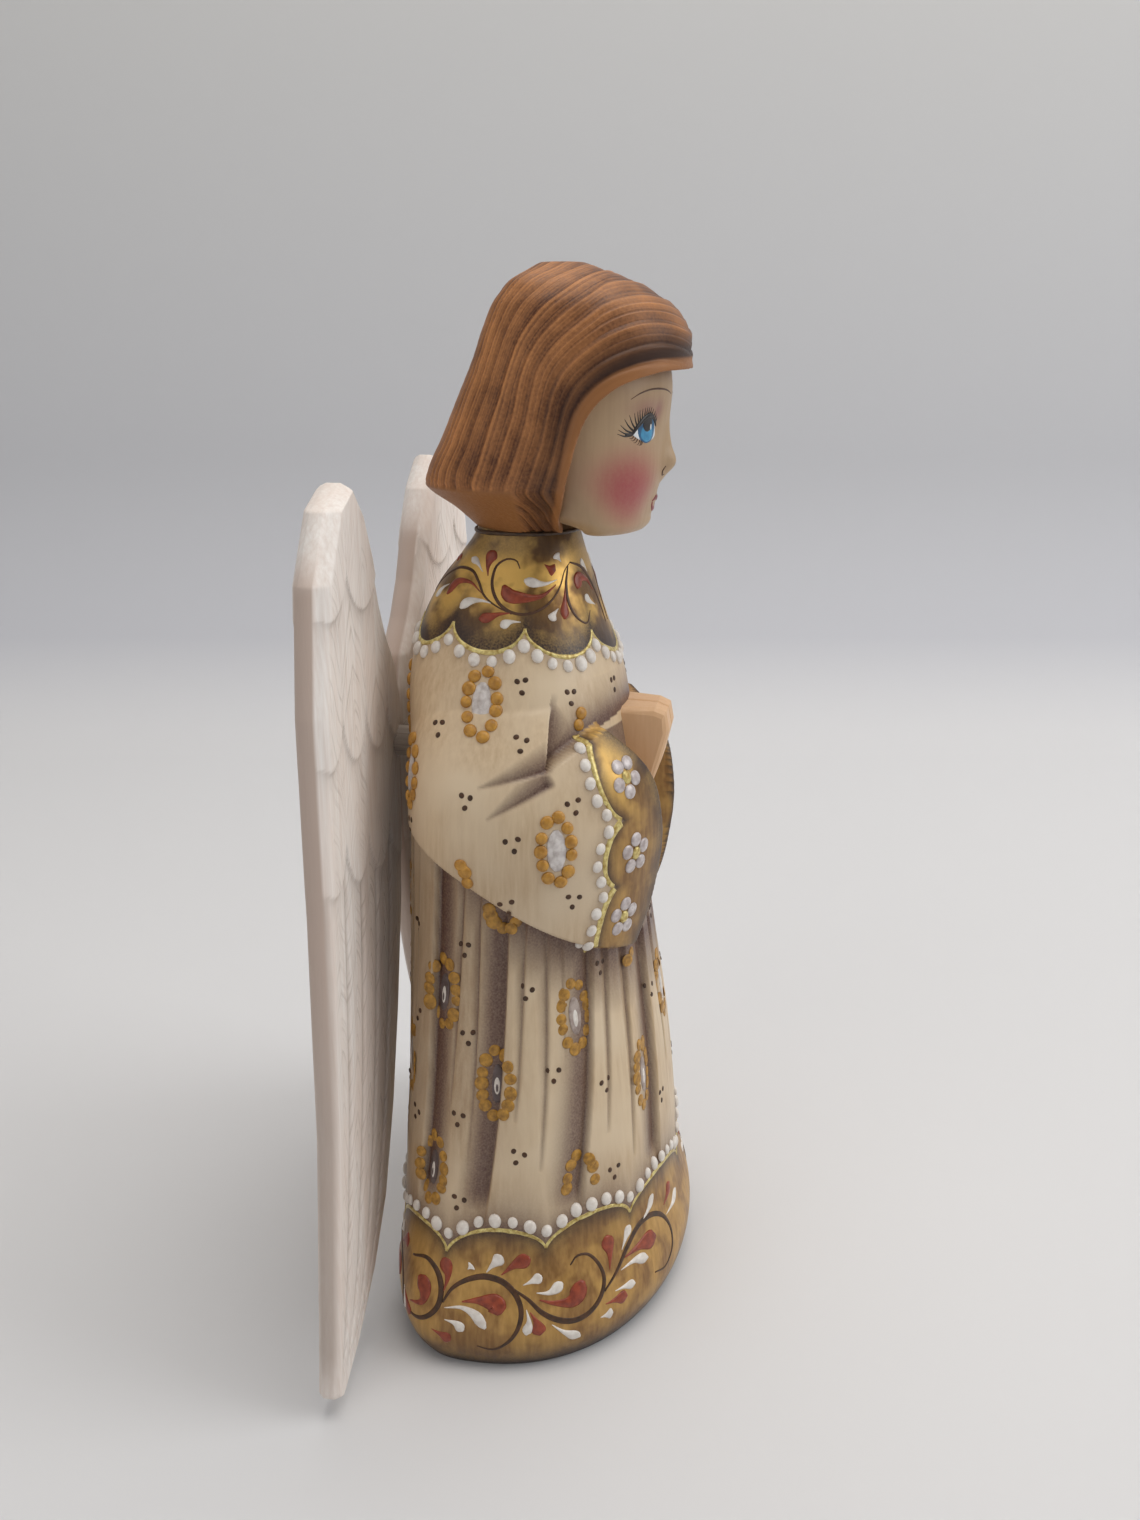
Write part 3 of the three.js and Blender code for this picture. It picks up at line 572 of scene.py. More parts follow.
def robeSkin():
    angles = evenAngles(robe["columns"], robe["turnRing"], robe["front"], robe["rear"])
    turn = np.arange(robe["columns"]) / robe["columns"]
    heights = np.concatenate([[0, 0.3, 0.8, 1.3], np.linspace(1.8, 147.6, robe["rows"] - 4)])
    body = stackOvals(robe["stations"], heights, angles, robe["front"], robe["rear"])
    outward = gridNormals(body)
    turns = np.broadcast_to(turn[None, :], body.shape[:2])
    z = body[..., 2]
    depth, dark = pleats(turns, z)
    pleated = smooth(*robe["hemFade"], z) * (1 - smooth(97, 106, z))
    body = body - outward * (depth * pleated)[..., None]

    arm = stackOvals(robe["sleeveStations"], heights, angles, robe["front"], robe["rear"])
    lie = sleeveShape(arm)
    soft = robe["edgeSoftness"]
    lie["proud"] = ((arm - body) * outward).sum(-1)
    lie["onArm"] = smooth(-soft, soft, lie["inside"]) * smooth(0.0, 0.4, lie["proud"])
    grid = body + (arm - body) * lie["onArm"][..., None]

    ahead, side, z = -grid[..., 1], np.abs(grid[..., 0]), grid[..., 2]
    sideOnly = smooth(8, 14, side)
    lie["crease"] = creases(ahead, z) * sideOnly
    lie["skirt"] = (1 - lie["onArm"]) * pleated
    lie["fold"] = dark * lie["skirt"]
    marks = robeMarksAt(turns, ahead, side, z, lie)
    grid = grid - outward * (creases(ahead, z, 1.6) * sideOnly)[..., None]
    return grid, heights, marks


robePaint = {
    "softEdge": 0.25, "offCuff": -9.0, "thinLeaf": 0.3,
    # scorched gold, and painted shade on the cream, beside an edge: strength, reach in millimetres, how
    # suddenly it ends
    "collarScorch": (0.97, 5.0, 2), "hemScorch": (0.85, 2.6, 1.5), "footScorch": (0.97, 4.3, 2),
    "cuffScorch": (0.95, 1.9, 1.4), "openingScorch": (0.9, 4.6, 1.6),
    "collarShade": (0.5, 1.4, 1), "hemShade": (0.93, 5.2, 1.3), "cuffShade": (0.6, 2.4, 1),
    "forearmShade": (0.97, 4.6, 1.5), "sleeveEdgeShade": (0.25, 1.2, 1),
}


def scorchAndShadeOnGold(half, side, z, lie, inCollar, inHem, inCuff, inWall):
    # brown on the gold: scorched along each border, in the cuffs and at the foot; painted shade round the
    # neck under the hair and down the chest under the face
    cuff = strongest(fading(inCuff, *robePaint["cuffScorch"]),
                     fading(side - lie["gap"], *robePaint["openingScorch"]) * (lie["inside"] > 0.2),
                     0.12 * (1 - smooth(102, 109, z)), 0.7 * (1 - smooth(72, 78, z)))
    return strongest(fading(inCollar, *robePaint["collarScorch"]) * (inCollar > -1),
                     # painted shade on the collar under the hair
                     0.6 * smooth(140, 144, z),
                     # painted shade on the front of the collar under the face
                     0.45 * smooth(133, 141, z) * (1 - smooth(0.06, 0.14, half)),
                     fading(inHem, *robePaint["hemScorch"]) * (inHem > -1),
                     fading(z, *robePaint["footScorch"]),
                     np.where(inWall, 0.0, cuff) * (inCuff > -1))


def shading(half, ahead, side, z, lie, inCollar, inHem, inCuff):
    # painted shade, purple-brown on the cream and partly the figure's own airbrushing: in folds and creases,
    # under and beside the arms, between the cuffs, low on the sleeves, over the rear of the skirt and outside
    # each border
    lower, forearm, upperArm = lie["lower"], lie["forearm"], lie["upperArm"]
    onBody = 1 - lie["onArm"]
    underArm = onBody * np.clip(1 + (z - lower) / 13, 0, 1) * (z < lower + 1) * smooth(-24, 0, ahead)
    chest = onBody * (z > lower) * (z < 122) * (ahead > 3)
    besideReach = np.interp(z, (109, 119), (11.0, 1.0))
    beside = np.clip(1 + upperArm / besideReach, 0, 1) * smooth(121, 117, z) * (upperArm < 0.2)
    overForearm = fading(-forearm, *robePaint["forearmShade"]) * (forearm < 1)
    between = onBody * (side < lie["gap"] + 1) * (z > 72) * (z < 113) * (ahead > 0)
    sleeve = strongest(fading(z - lower, *robePaint["sleeveEdgeShade"]), 0.12 * smooth(106, 90, z))
    return strongest(0.95 * lie["fold"], lie["crease"] ** 0.5,
                     0.3 * lie["skirt"] * smooth(0.21, 0.29, half) * smooth(26, 50, z),
                     0.97 * underArm ** 0.8,
                     chest * np.maximum(overForearm, 0.97 * beside ** 0.6),
                     fading(-inCollar, *robePaint["collarShade"]) * (inCollar < 1),
                     fading(-inHem, *robePaint["hemShade"]) * (inHem < 1),
                     fading(-inCuff, *robePaint["cuffShade"]) * (inCuff > robePaint["offCuff"] + 0.1),
                     lie["onArm"] * sleeve, 0.8 * between)


def robeMarksAt(turns, ahead, side, z, lie):
    # paint marks from the distances in millimetres to each painted border
    half = fromFront(turns)
    inCollar = z - collarEdge(turns)
    inHem = hemEdge(turns) - z
    onCuff = (lie["inside"] > -0.5) & (lie["proud"] > -0.3) & (z > 70) & (z < 116.5)
    inCuff = np.where(onCuff, (cuffEdge(z) - half) * robe["cuffGirth"], robePaint["offCuff"])
    inWall = (lie["inside"] < 0.25) & (side < lie["gap"] + 0.3) & (inCuff > -1)  # inner wall of the sleeve
    soft, thin = robePaint["softEdge"], robePaint["thinLeaf"]
    gold = strongest(*[smooth(-soft, soft, inBorder) for inBorder in (inCollar, inHem, inCuff)])
    leaf = np.where(inCollar > -1, 1.0, np.where(z > 60, thin + 0.6 * smooth(98, 108, z), thin))
    scorchAndShade = scorchAndShadeOnGold(half, side, z, lie, inCollar, inHem, inCuff, inWall)
    shade = shading(half, ahead, side, z, lie, inCollar, inHem, inCuff)
    return {"gold": gold, "scorchAndShade": np.clip(scorchAndShade, 0, 1), "shade": np.clip(shade, 0, 1),
            "leaf": np.where(inWall, thin, leaf)}


robeGrid, robeHeights, robeMarks = robeSkin()
robePiece = makeGridPiece("robe_carving", robeGrid, robeFinish, "figure", robeMarks)
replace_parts(robePiece, "robe_body")
print("robe carved", robeGrid.shape)


# The head: hair and face are two skins of one block

head = {
    "columns": 520, "rows": 360, "round": 2.3,
    "hairStations": [
        (146, 10, 8, -9.4, 0), (150, 15.6, 20, -13.4, 0), (154.4, 20.6, 23, -18.8, 0),
        (156.4, 21.4, 24, -18.3, 0), (162, 21.4, 25, -15.6, 2), (168, 20.8, 26, -13, 4),
        (175, 19.6, 27.2, -10, 6), (180, 17.9, 26.6, -8.3, 7), (185, 14.8, 21.8, -5.9, 7),
        (188, 10.6, 15.8, -3, 6), (190, 4.4, 8.8, 1.2, 5),
    ],
    # hairline in side view: height, ahead
    "hairline": [(143, 6.2), (148.2, 6.8), (152.2, 8.2), (158.1, 9.9), (161.5, 10.8), (165, 12.1),
                 (167.8, 14.0), (170.1, 16.8), (171.4, 19.6), (172.2, 22.2), (172.7, 24.5), (173, 30)],
    "faceStations": [
        (146.3, 12, 19.2, 9, 13), (146.8, 13, 19.7, 8.6, 13), (147.4, 13.5, 20, 7, 13),
        (148.6, 14.4, 20.3, 2, 12), (151, 15.2, 20.9, -2, 11), (155, 16.4, 22.2, -4, 9),
        (163, 17.6, 23, -4, 8), (170, 17.4, 23.8, -4, 8), (178, 15, 22.6, -2, 8),
    ],
    "faceRing": (17.6, 22.6, -4, 8), "faceFront": 1.8, "faceRear": 2.2, "faceTurn": 104.0, "recess": 5.0,
    "underEdge": 154.4, "halfWidth": 21.0, "laneWidth": 26.0, "strandFocus": (22, 152),
    # nose ridge: height, how far it stands out; height, half width
    "noseRidge": [(154.0, 0), (155.4, 0.6), (157.6, 2.0), (160.5, 1.1), (165, 0.2), (168, 0)],
    "noseWidth": [(153, 1.5), (157, 1.8), (165, 1.1), (168, 1.0)],
    # eye hollow, cheek, upper lip, lower lip and chin: side, height, half width, half height, swell
    "swells": [(6.5, 165, 3.2, 3.4, -0.45), (9.5, 155, 4.5, 4.0, 0.4), (0, 151.4, 2.6, 0.9, 0.4),
               (0, 149.8, 2.2, 0.8, 0.3), (0, 147.8, 3.5, 1.0, 0.3)],
    # where the strands would end if they ran on past the outline of the head: height, ahead
    "fan": [(148, -13), (154.4, -18.8), (162, -16), (168, -14), (175, -12), (182, -11), (190, -9), (198, -4),
            (206, 4), (212, 14), (214, 26), (208, 38), (196, 46), (184, 50), (173, 52)],
}


def fromFocus(curve):
    # distance from the strand focus at each bearing, for a (height, ahead) curve seen from the side
    da, dz = curve[:, 1] - head["strandFocus"][0], curve[:, 0] - head["strandFocus"][1]
    bearing = np.arctan2(dz, da) % (2 * math.pi)
    order = np.argsort(bearing)
    return bearing[order], np.hypot(da, dz)[order]


def faceOpening(ahead, z):
    # the hairline as a fine curve, and how far each point lies outside the face opening in side view
    hairline = fineCurve(head["hairline"], 200)
    gap = np.full(ahead.shape, 1e9)
    for height, place in hairline:
        gap = np.minimum(gap, np.hypot(ahead - place, z - height))
    limit = np.interp(z, hairline[:, 0], hairline[:, 1], right=99)
    return hairline, np.where((ahead > limit) & (z < head["hairline"][-1][0]), -gap, gap)


def strandLane(x, ahead, z, hairline):
    # millimetres across the strands, which fan out from the hairline to past the back of the head
    focusAhead, focusHeight = head["strandFocus"]
    bearing = np.arctan2(z - focusHeight, ahead - focusAhead) % (2 * math.pi)
    inner = np.interp(bearing, *fromFocus(hairline))
    outer = np.interp(bearing, *fromFocus(fineCurve(head["fan"], 300)))
    share = (np.hypot(ahead - focusAhead, z - focusHeight) - inner) / np.maximum(outer - inner, 2.0)
    overCrown = np.interp(ahead, (-6, 14), (0.8, 0.1)) * np.maximum(head["halfWidth"] - 1 - np.abs(x), 0)
    return head["laneWidth"] * np.maximum(share, 0) + overCrown + 0.12 * np.sin(ahead * 0.31 + z * 0.23)


def hairSkin():
    angles = evenAngles(head["columns"], head["hairStations"][5][1:], head["round"], head["round"])
    low, high = head["hairStations"][0][0], head["hairStations"][-1][0]
    heights = low + (high - low) * (1 - (1 - np.linspace(0, 1, head["rows"])) ** 1.5)
    grid = stackOvals(head["hairStations"], heights, angles, head["round"], head["round"])
    outward = gridNormals(grid)
    x, ahead, z = grid[..., 0], -grid[..., 1], grid[..., 2]
    hairline, distance = faceOpening(ahead, z)
    hairHere = smooth(-0.3, 0.3, distance)
    grid = grid - outward * ((1 - hairHere) * head["recess"])[..., None]

    lane = strandLane(x, ahead, z, hairline)
    lock = gougeCuts(lane + 20, 1.5, 4.0, 2)
    wave = gougeCuts(lane + 20, 0.7, 1.9, 11)
    strand = np.clip(0.06 + 0.62 * lock + 0.3 * wave, 0, 1)
    below = 1 - smooth(head["underEdge"] - 0.5, head["underEdge"] + 0.1, z)
    under = below * (1 - smooth(-0.6, 1.2, ahead))  # the flat cut underneath
    crown = 1 - smooth(188.6, 190, z)
    carve = (0.5 * (1 - lock) + 0.16 * (1 - wave)) * (1 - under) * smooth(0.5, 2.0, distance) * crown
    grid = grid - outward * carve[..., None]

    # a bare rim along the hairline, then dark stain that fades into the strands
    rimWidth = 1.2 + 1.0 * smooth(154, 168, z) - 0.3 * smooth(20, 27, ahead)
    fringe = smooth(6, 20, ahead)
    dusk = fading(distance - rimWidth - 1.2, 0.62 + 0.33 * fringe, 3.4, 1.6)
    dusk = dusk * smooth(-0.4, 0.5, distance - rimWidth)
    dusk = np.maximum(dusk, 0.4 * smooth(12, 25, ahead) * smooth(174.5, 177, z) * (1 - 0.7 * wave))
    bare = np.maximum(under, 0.8 * (1 - smooth(-0.3, 0.5, distance - rimWidth)))
    return grid, {"strand": strand, "dusk": dusk * (1 - under), "bare": bare, "lane": lane}


def faceSkin():
    angles = evenAngles(head["columns"], head["faceRing"], head["faceFront"], head["faceRear"])
    heights = np.linspace(head["faceStations"][0][0], head["faceStations"][-1][0], 260)
    grid = stackOvals(head["faceStations"], heights, angles, head["faceFront"], head["faceRear"])
    outward = gridNormals(grid)
    turns = np.broadcast_to(np.arange(head["columns"]) / head["columns"], grid.shape[:2])
    x, ahead, z = grid[..., 0], -grid[..., 1], grid[..., 2]
    side = np.abs(x)
    front = smooth(12, 18, ahead)
    ridge = curveThrough(*zip(*head["noseRidge"]))(z)
    width = curveThrough(*zip(*head["noseWidth"]))(z)
    push = ridge * np.exp(-(x / width) ** 2)
    for place, height, halfWidth, halfHeight, swell in head["swells"]:
        push = push + swell * np.exp(-((side - place) / halfWidth) ** 2 - ((z - height) / halfHeight) ** 2)
    grid = grid + outward * (push * front)[..., None]
    along = fromFront(turns) * head["faceTurn"]
    blush = 0.88 * np.exp(-(((along - 14.0) / 8.4) ** 2 + ((z - 154.1) / 5.9) ** 2) ** 1.4)
    lid = 0.75 * np.exp(-((along - 6.2) / 1.7) ** 2 - ((z - 166.4) / 2.0) ** 2)
    lid = np.maximum(lid, 0.55 * np.exp(-((along - 10) / 4.5) ** 2 - ((z - 166.9) / 1.7) ** 2))
    # painted shade on the face along the hairline and up under the fringe
    dusk = 0.45 * np.exp(-np.maximum(ahead - 8, 0) / 2.0) * (z < 172)
    dusk = np.maximum(dusk, 0.5 * np.exp(-np.maximum(172.6 - z, 0) / 1.4))
    return grid, heights, {"blush": blush, "lid": lid, "dusk": dusk}


hairGrid, hairMarks = hairSkin()
hairPiece = makeGridPiece("hair_carving", hairGrid, hairFinish, "figure", hairMarks)
faceGrid, faceHeights, faceMarks = faceSkin()
facePiece = makeGridPiece("face_carving", faceGrid, faceFinish, "figure", faceMarks)
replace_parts(hairPiece, "head")
print("head carved")


# The wings: boards with cut feathers on both faces

wing = {
    "rows": 420, "across": 110,
    "front": 26.4, "thickness": 4.2, "tipThickness": 3.7, "sweep": 0.042, "bevel": 0.9, "chamfer": 0.3,
    "low": 2.6, "peak": 156, "pegHeight": 106.5,
    # height, distance from the centre line
    "outer": [(2.6, 55.4), (4.6, 58.4), (12, 57.2), (50, 51), (88, 48.4), (122, 47.8), (142, 44.6),
              (152.4, 37), (156, 27.4)],
    "inner": [(2.6, 55.4), (6.2, 44), (12.6, 32.5), (21.4, 23), (37, 14.6), (55, 8), (74, 2.9), (90, 0.8),
              (114, 0.5), (121, 2.6), (127, 8), (133.4, 12), (142.6, 16), (150, 20.4), (156, 27.4)],
    # feather tiers: height of the row, rise across it, proud step, feathers, drop of each tip
    "tiers": [(92, 10, 0.5, 4, 9), (115, 8, 0.5, 4, 9), (141, 4, 0.45, 3, 8)],
    "flights": 5, "barbStep": 1.5, "span": 54.0, "crispAbove": 118,
}


def featherCuts(x, z, across, width):
    # flight feathers below, then tiers of short feathers, each a soft step prouder
    lane = (across[None, :] + 0 * x) * wing["flights"]
    fromShaft = np.abs(lane % 1.0 - 0.5) / wing["flights"] * width
    part = (0.5 - np.abs(lane % 1.0 - 0.5)) / wing["flights"] * width
    barb = (fromShaft + 0.6 * z) / wing["barbStep"] + 31 * np.floor(lane)
    relief = -0.6 * np.exp(-(part / 0.8) ** 2) * smooth(4, 14, z)
    cutAndShadow = 0.65 * np.exp(-(part / 0.7) ** 2) * smooth(4, 14, z)
    for height, rise, step, feathers, drop in wing["tiers"]:
        u = np.clip((x + 2) / wing["span"], 0, 0.999)
        tip = np.sqrt(np.abs(np.sin(u * feathers * math.pi)))
        above = z - (height + rise * u - drop * tip)
        here = smooth(-1.0, 0.8, above)
        relief = relief * (1 - here) + here * (np.maximum(relief, 0) + step)
        fromMid = np.abs((u * feathers) % 1.0 - 0.5) / feathers * wing["span"]
        tierBarb = (fromMid + 0.6 * z) / wing["barbStep"] + 17 * height + 7 * np.floor(u * feathers)
        barb = np.where(above > 0, tierBarb, barb)
        # painted shadow under each tier's step
        cutAndShadow = np.maximum(cutAndShadow * (1 - here), fading(-above, 0.3, 2.2, 1) * (above < 0.3))
    return relief, cutAndShadow, barb


def wingSkin(sign):
    share = np.linspace(0, 1, wing["rows"])
    eased = 0.5 - 0.5 * np.cos(math.pi * share)
    heights = wing["low"] + (wing["peak"] - wing["low"]) * (0.45 * share + 0.55 * eased)
    heights[0], heights[-1] = wing["low"] + 0.05, wing["peak"] - 0.05
    edges = []
    for key in ("outer", "inner"):
        plain = np.interp(heights, *zip(*wing[key]))
        rounded = np.convolve(np.pad(plain, 4, mode="edge"), np.ones(9) / 9, "valid")
        rounded[:6] = plain[:6]
        edges.append(np.where(heights < wing["crispAbove"], rounded, plain))
    outer, inner = edges
    across = np.linspace(0, 1, wing["across"])
    z = heights[:, None] + 0 * across[None, :]
    width = np.maximum(outer - inner, 0.2)[:, None]
    x = inner[:, None] + width * across[None, :]
    thin = wing["tipThickness"] + (wing["thickness"] - wing["tipThickness"]) * smooth(0, wing["pegHeight"], z)
    toEdge = np.minimum(across, 1 - across)[None, :] * width
    bevel = wing["bevel"] * (1 - np.clip(toEdge / wing["bevel"], 0, 1))
    chamfer = wing["bevel"] + wing["chamfer"] * smooth(40, 110, z)
    frontBevel = np.maximum(bevel, chamfer - (1 - across)[None, :] * width)

    relief, cutAndShadow, barb = featherCuts(x, z, across, width)
    barb = barb + 0.35 * np.sin(x * 0.8 + z * 0.21)
    vane = smooth(1.6, 4.0, toEdge)
    relief = relief * smooth(0.5, 2.5, toEdge)

    lie = wing["front"] - wing["sweep"] * x
    front = np.stack([sign * x, lie + frontBevel - 0.9 * relief, z], -1)
    back = np.stack([sign * x, lie + thin - bevel + 0.5 * relief, z], -1)[:, ::-1]
    ring = np.concatenate([front, back], 1)
    # painted shade on the edge strip, lighter towards the foot and gone at the top
    boardEdgeShade = (1 - smooth(0.6, 1.8, toEdge)) * (1 - smooth(140, 148, z)) * (0.2 + 0.8 * smooth(30, 90, z))
    frontBoardEdgeShade = boardEdgeShade * (1 - smooth(0.0, 0.4, toEdge) * smooth(40, 110, z))
    marks = {"cutAndShadow": (cutAndShadow, cutAndShadow), "boardEdgeShade": (frontBoardEdgeShade, boardEdgeShade), "barb": (barb, barb), "vane": (vane, vane)}
    marks = {key: np.concatenate([ahead, behind[:, ::-1]], 1) for key, (ahead, behind) in marks.items()}
    if sign < 0:
        return ring[:, ::-1], {key: values[:, ::-1] for key, values in marks.items()}
    return ring, marks


for name, sign in (("right", -1), ("left", 1)):
    ring, marks = wingSkin(sign)
    wingPiece = makeGridPiece(f"wing_carving_{name}", ring, wingFinish, f"wing_{name}",
                              marks)
    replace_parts(wingPiece, f"wing_{name}")
for name in ("wing_peg_right", "wing_peg_left", "neck_dowel"):
    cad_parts[name].data.materials.clear()
    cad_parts[name].data.materials.append(dowelFinish)
print("wings carved")


# The praying hands

hand = {
    # side view: ahead, height
    "profile": [(13.5, 98), (21.2, 98.4), (23.6, 105), (25, 111), (24.4, 114.2), (22.4, 115), (13.5, 115.4)],
    "thickness": 6.8, "gap": 0.15, "tipShare": 0.72,
    # layers of the block from the palm outwards: depth share, how far the outline is drawn in
    "layers": [(0, 0.5), (0.03, 0.12), (0.075, 0), (0.81, 0), (0.94, 0.55), (1, 1.3)],
}


def handPiece(name, sign):
    profile = np.array(hand["profile"], float)
    middle = profile.mean(0)
    wrist, fingertip = profile[:, 0].min(), profile[:, 0].max()
    inward = (middle - profile) / np.linalg.norm(profile - middle, axis=1, keepdims=True)
    rings = []
    for share, shrink in hand["layers"]:
        closer = profile + inward * shrink
        taper = 1 + (hand["tipShare"] - 1) * (closer[:, 0] - wrist) / (fingertip - wrist)
        out = sign * (hand["gap"] + hand["thickness"] * share * taper)
        rings.append(np.stack([out, -closer[:, 0], closer[:, 1]], -1))
    grid = np.array(rings)
    if sign > 0:
        grid = grid[:, ::-1]
    piece = makeGridPiece(name, grid, handFinish, "figure")
    piece.data.polygons.foreach_set("use_smooth", [False] * len(piece.data.polygons))
    bevel = piece.modifiers.new("softened edges", "BEVEL")
    bevel.width = 0.35 * mm
    bevel.segments = 3
    return piece


for name, sign in (("right", -1), ("left", 1)):
    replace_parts(handPiece(f"hand_carving_{name}", sign), f"hand_{name}")
print("hands made")


# Raised paint: pearls, beads and brush strokes laid on the carved skins

brushWork = {}


def skinAt(skin, turn, height):
    # point and outward direction on a carved skin, read between its grid points
    grid, heights, normals = skin
    rows, columns = grid.shape[:2]
    row = np.clip(np.interp(height, heights, np.arange(rows)), 0, rows - 1.001)
    column = (np.asarray(turn, float) % 1.0) * columns
    r, c = row.astype(int), column.astype(int) % columns
    fr, fc = (row - r)[..., None], (column - np.floor(column))[..., None]
    nextC = (c + 1) % columns

    def read(field):
        near = field[r, c] * (1 - fc) + field[r, nextC] * fc
        far = field[r + 1, c] * (1 - fc) + field[r + 1, nextC] * fc
        return near * (1 - fr) + far * fr
    normal = read(normals)
    return read(grid), normal / np.linalg.norm(normal, axis=-1, keepdims=True)


def softened(field, passes):
    for step in range(passes):
        field = (field + np.roll(field, 1, 1) + np.roll(field, -1, 1)) / 3
        field[1:-1] = (field[1:-1] + field[:-2] + field[2:]) / 3
    return field


robeSurface = (robeGrid, robeHeights, softened(gridNormals(robeGrid), 6))
faceSurface = (faceGrid, faceHeights, gridNormals(faceGrid))


def keepBrushWork(paint, points, faces):
    store = brushWork.setdefault(paint, {"points": [], "faces": [], "count": 0})
    store["faces"] += [[i + store["count"] for i in face] for face in faces]
    store["points"].append(points)
    store["count"] += len(points)


def closedRings(rings):
    # rings of equal length joined into a closed body, ends filled from their middles
    table = np.array(rings)
    points = np.concatenate([table.reshape(-1, 3), [table[0].mean(0), table[-1].mean(0)]])
    return points, gridFaces(*table.shape[:2])


def lengthAlong(points):
    return np.concatenate([[0], np.cumsum(np.linalg.norm(np.diff(points, axis=0), axis=1))])


def bead(paint, skin, turn, height, across, tall, lift, lean=0.0):
    # a drop of thick paint: half widths across and up, and how far it stands out
    point, normal = skinAt(skin, np.array(turn), np.array(height))
    right = np.cross([0, 0, 1], normal)
    right /= np.linalg.norm(right)
    up = np.cross(normal, right)
    right, up = right * math.cos(lean) + up * math.sin(lean), up * math.cos(lean) - right * math.sin(lean)
    around = np.arange(14) / 14 * 2 * math.pi
    rings = []
    for rise, spread in ((-0.35, 0.7), (0.0, 1.0), (0.35, 0.96), (0.65, 0.8), (0.88, 0.52), (0.98, 0.22)):
        rings.append(point + np.outer(np.cos(around) * across * spread, right)
                     + np.outer(np.sin(around) * tall * spread, up) + normal * lift * rise)
    points, faces = closedRings(rings)
    keepBrushWork(paint, points, [face[::-1] for face in faces])


def stroke(paint, skin, path, widths, lift, samples=20):
    # a brush stroke along (turn, height) points, domed across, with half widths given along it
    path = np.array(path, float)
    here, normals = skinAt(skin, path[:, 0], path[:, 1])
    steps = lengthAlong(here)
    fine = curveThrough(steps, path)(np.linspace(0, steps[-1], samples))
    spine, normals = skinAt(skin, fine[:, 0], fine[:, 1])
    ahead = np.gradient(spine, axis=0)
    ahead /= np.linalg.norm(ahead, axis=1, keepdims=True) + 1e-9
    across = np.cross(normals, ahead)
    share = np.linspace(0, 1, samples)
    half = np.interp(share, np.linspace(0, 1, len(widths)), widths)[:, None]
    tall = np.minimum(lift, half * 0.7)
    rings = []
    for i in range(samples):
        ring = []
        for offset, rise in ((-0.9, -0.8), (-1, 0), (-0.72, 0.55), (0, 1), (0.72, 0.55), (1, 0), (0.9, -0.8)):
            ring.append(spine[i] + across[i] * half[i] * offset + normals[i] * tall[i] * rise)
        rings.append(ring)
    points, faces = closedRings(rings)
    keepBrushWork(paint, points, [face[::-1] for face in faces])


commaWidths = np.array([0.07, 0.13, 0.2, 0.28, 0.38, 0.52, 0.72, 0.92, 0.98, 0.82, 0.25])
vineWidths = np.array([0.35, 0.6, 0.85, 1.0, 0.95, 0.85, 0.75, 0.6, 0.45, 0.25])

# brush strokes of the figure's right half:
# paint, half width in millimetres, (turn, height) points from tail to head
hemOver = [
    ("vine", 0.58, [(0.288, 12.7), (0.281, 15.1), (0.266, 17), (0.249, 17.8), (0.233, 17.2), (0.222, 15.3),
                    (0.216, 12.8), (0.216, 9.7), (0.222, 6.8), (0.232, 5.1), (0.243, 5.6)]),
    ("red", 1.9, [(0.267, 13.4), (0.248, 13.9), (0.235, 13.5), (0.231, 11.9)]),
    ("white", 1.05, [(0.285, 11.9), (0.265, 12.4), (0.247, 11.1), (0.239, 9.3)]),
    ("white", 1.0, [(0.283, 9.9), (0.269, 9.5), (0.26, 8.4)]),
    ("red", 1.2, [(0.298, 7.4), (0.285, 6.8), (0.274, 6.1)]),
    ("white", 1.2, [(0.248, 18.5), (0.242, 20.1), (0.237, 21.4)]),
    ("white", 0.9, [(0.268, 18.6), (0.266, 19.0), (0.264, 19.4)]),
    ("red", 1.45, [(0.235, 18.3), (0.226, 20), (0.214, 21.1)]),
    ("white", 0.95, [(0.212, 12.7), (0.209, 10.5), (0.21, 8.2)]),
    ("red", 1.35, [(0.209, 12.2), (0.203, 10.1), (0.2, 7.9)]),
]
hemUnder = [
    ("vine", 0.58, [(0.223, 16), (0.212, 14.4), (0.2, 11.9), (0.186, 10), (0.174, 9.3), (0.162, 10),
                    (0.153, 12.1), (0.15, 14.9), (0.156, 18), (0.166, 20), (0.175, 20.1), (0.18, 18.9)]),
    ("red", 1.75, [(0.203, 14.1), (0.191, 13.2), (0.177, 13), (0.169, 15.8)]),
    ("white", 1.05, [(0.206, 15.3), (0.196, 15.1), (0.186, 16.3)]),
    ("white", 1.0, [(0.217, 16.7), (0.21, 17.3), (0.203, 17.9)]),
    ("white", 1.0, [(0.192, 9.5), (0.181, 7.3), (0.169, 5.5)]),
]
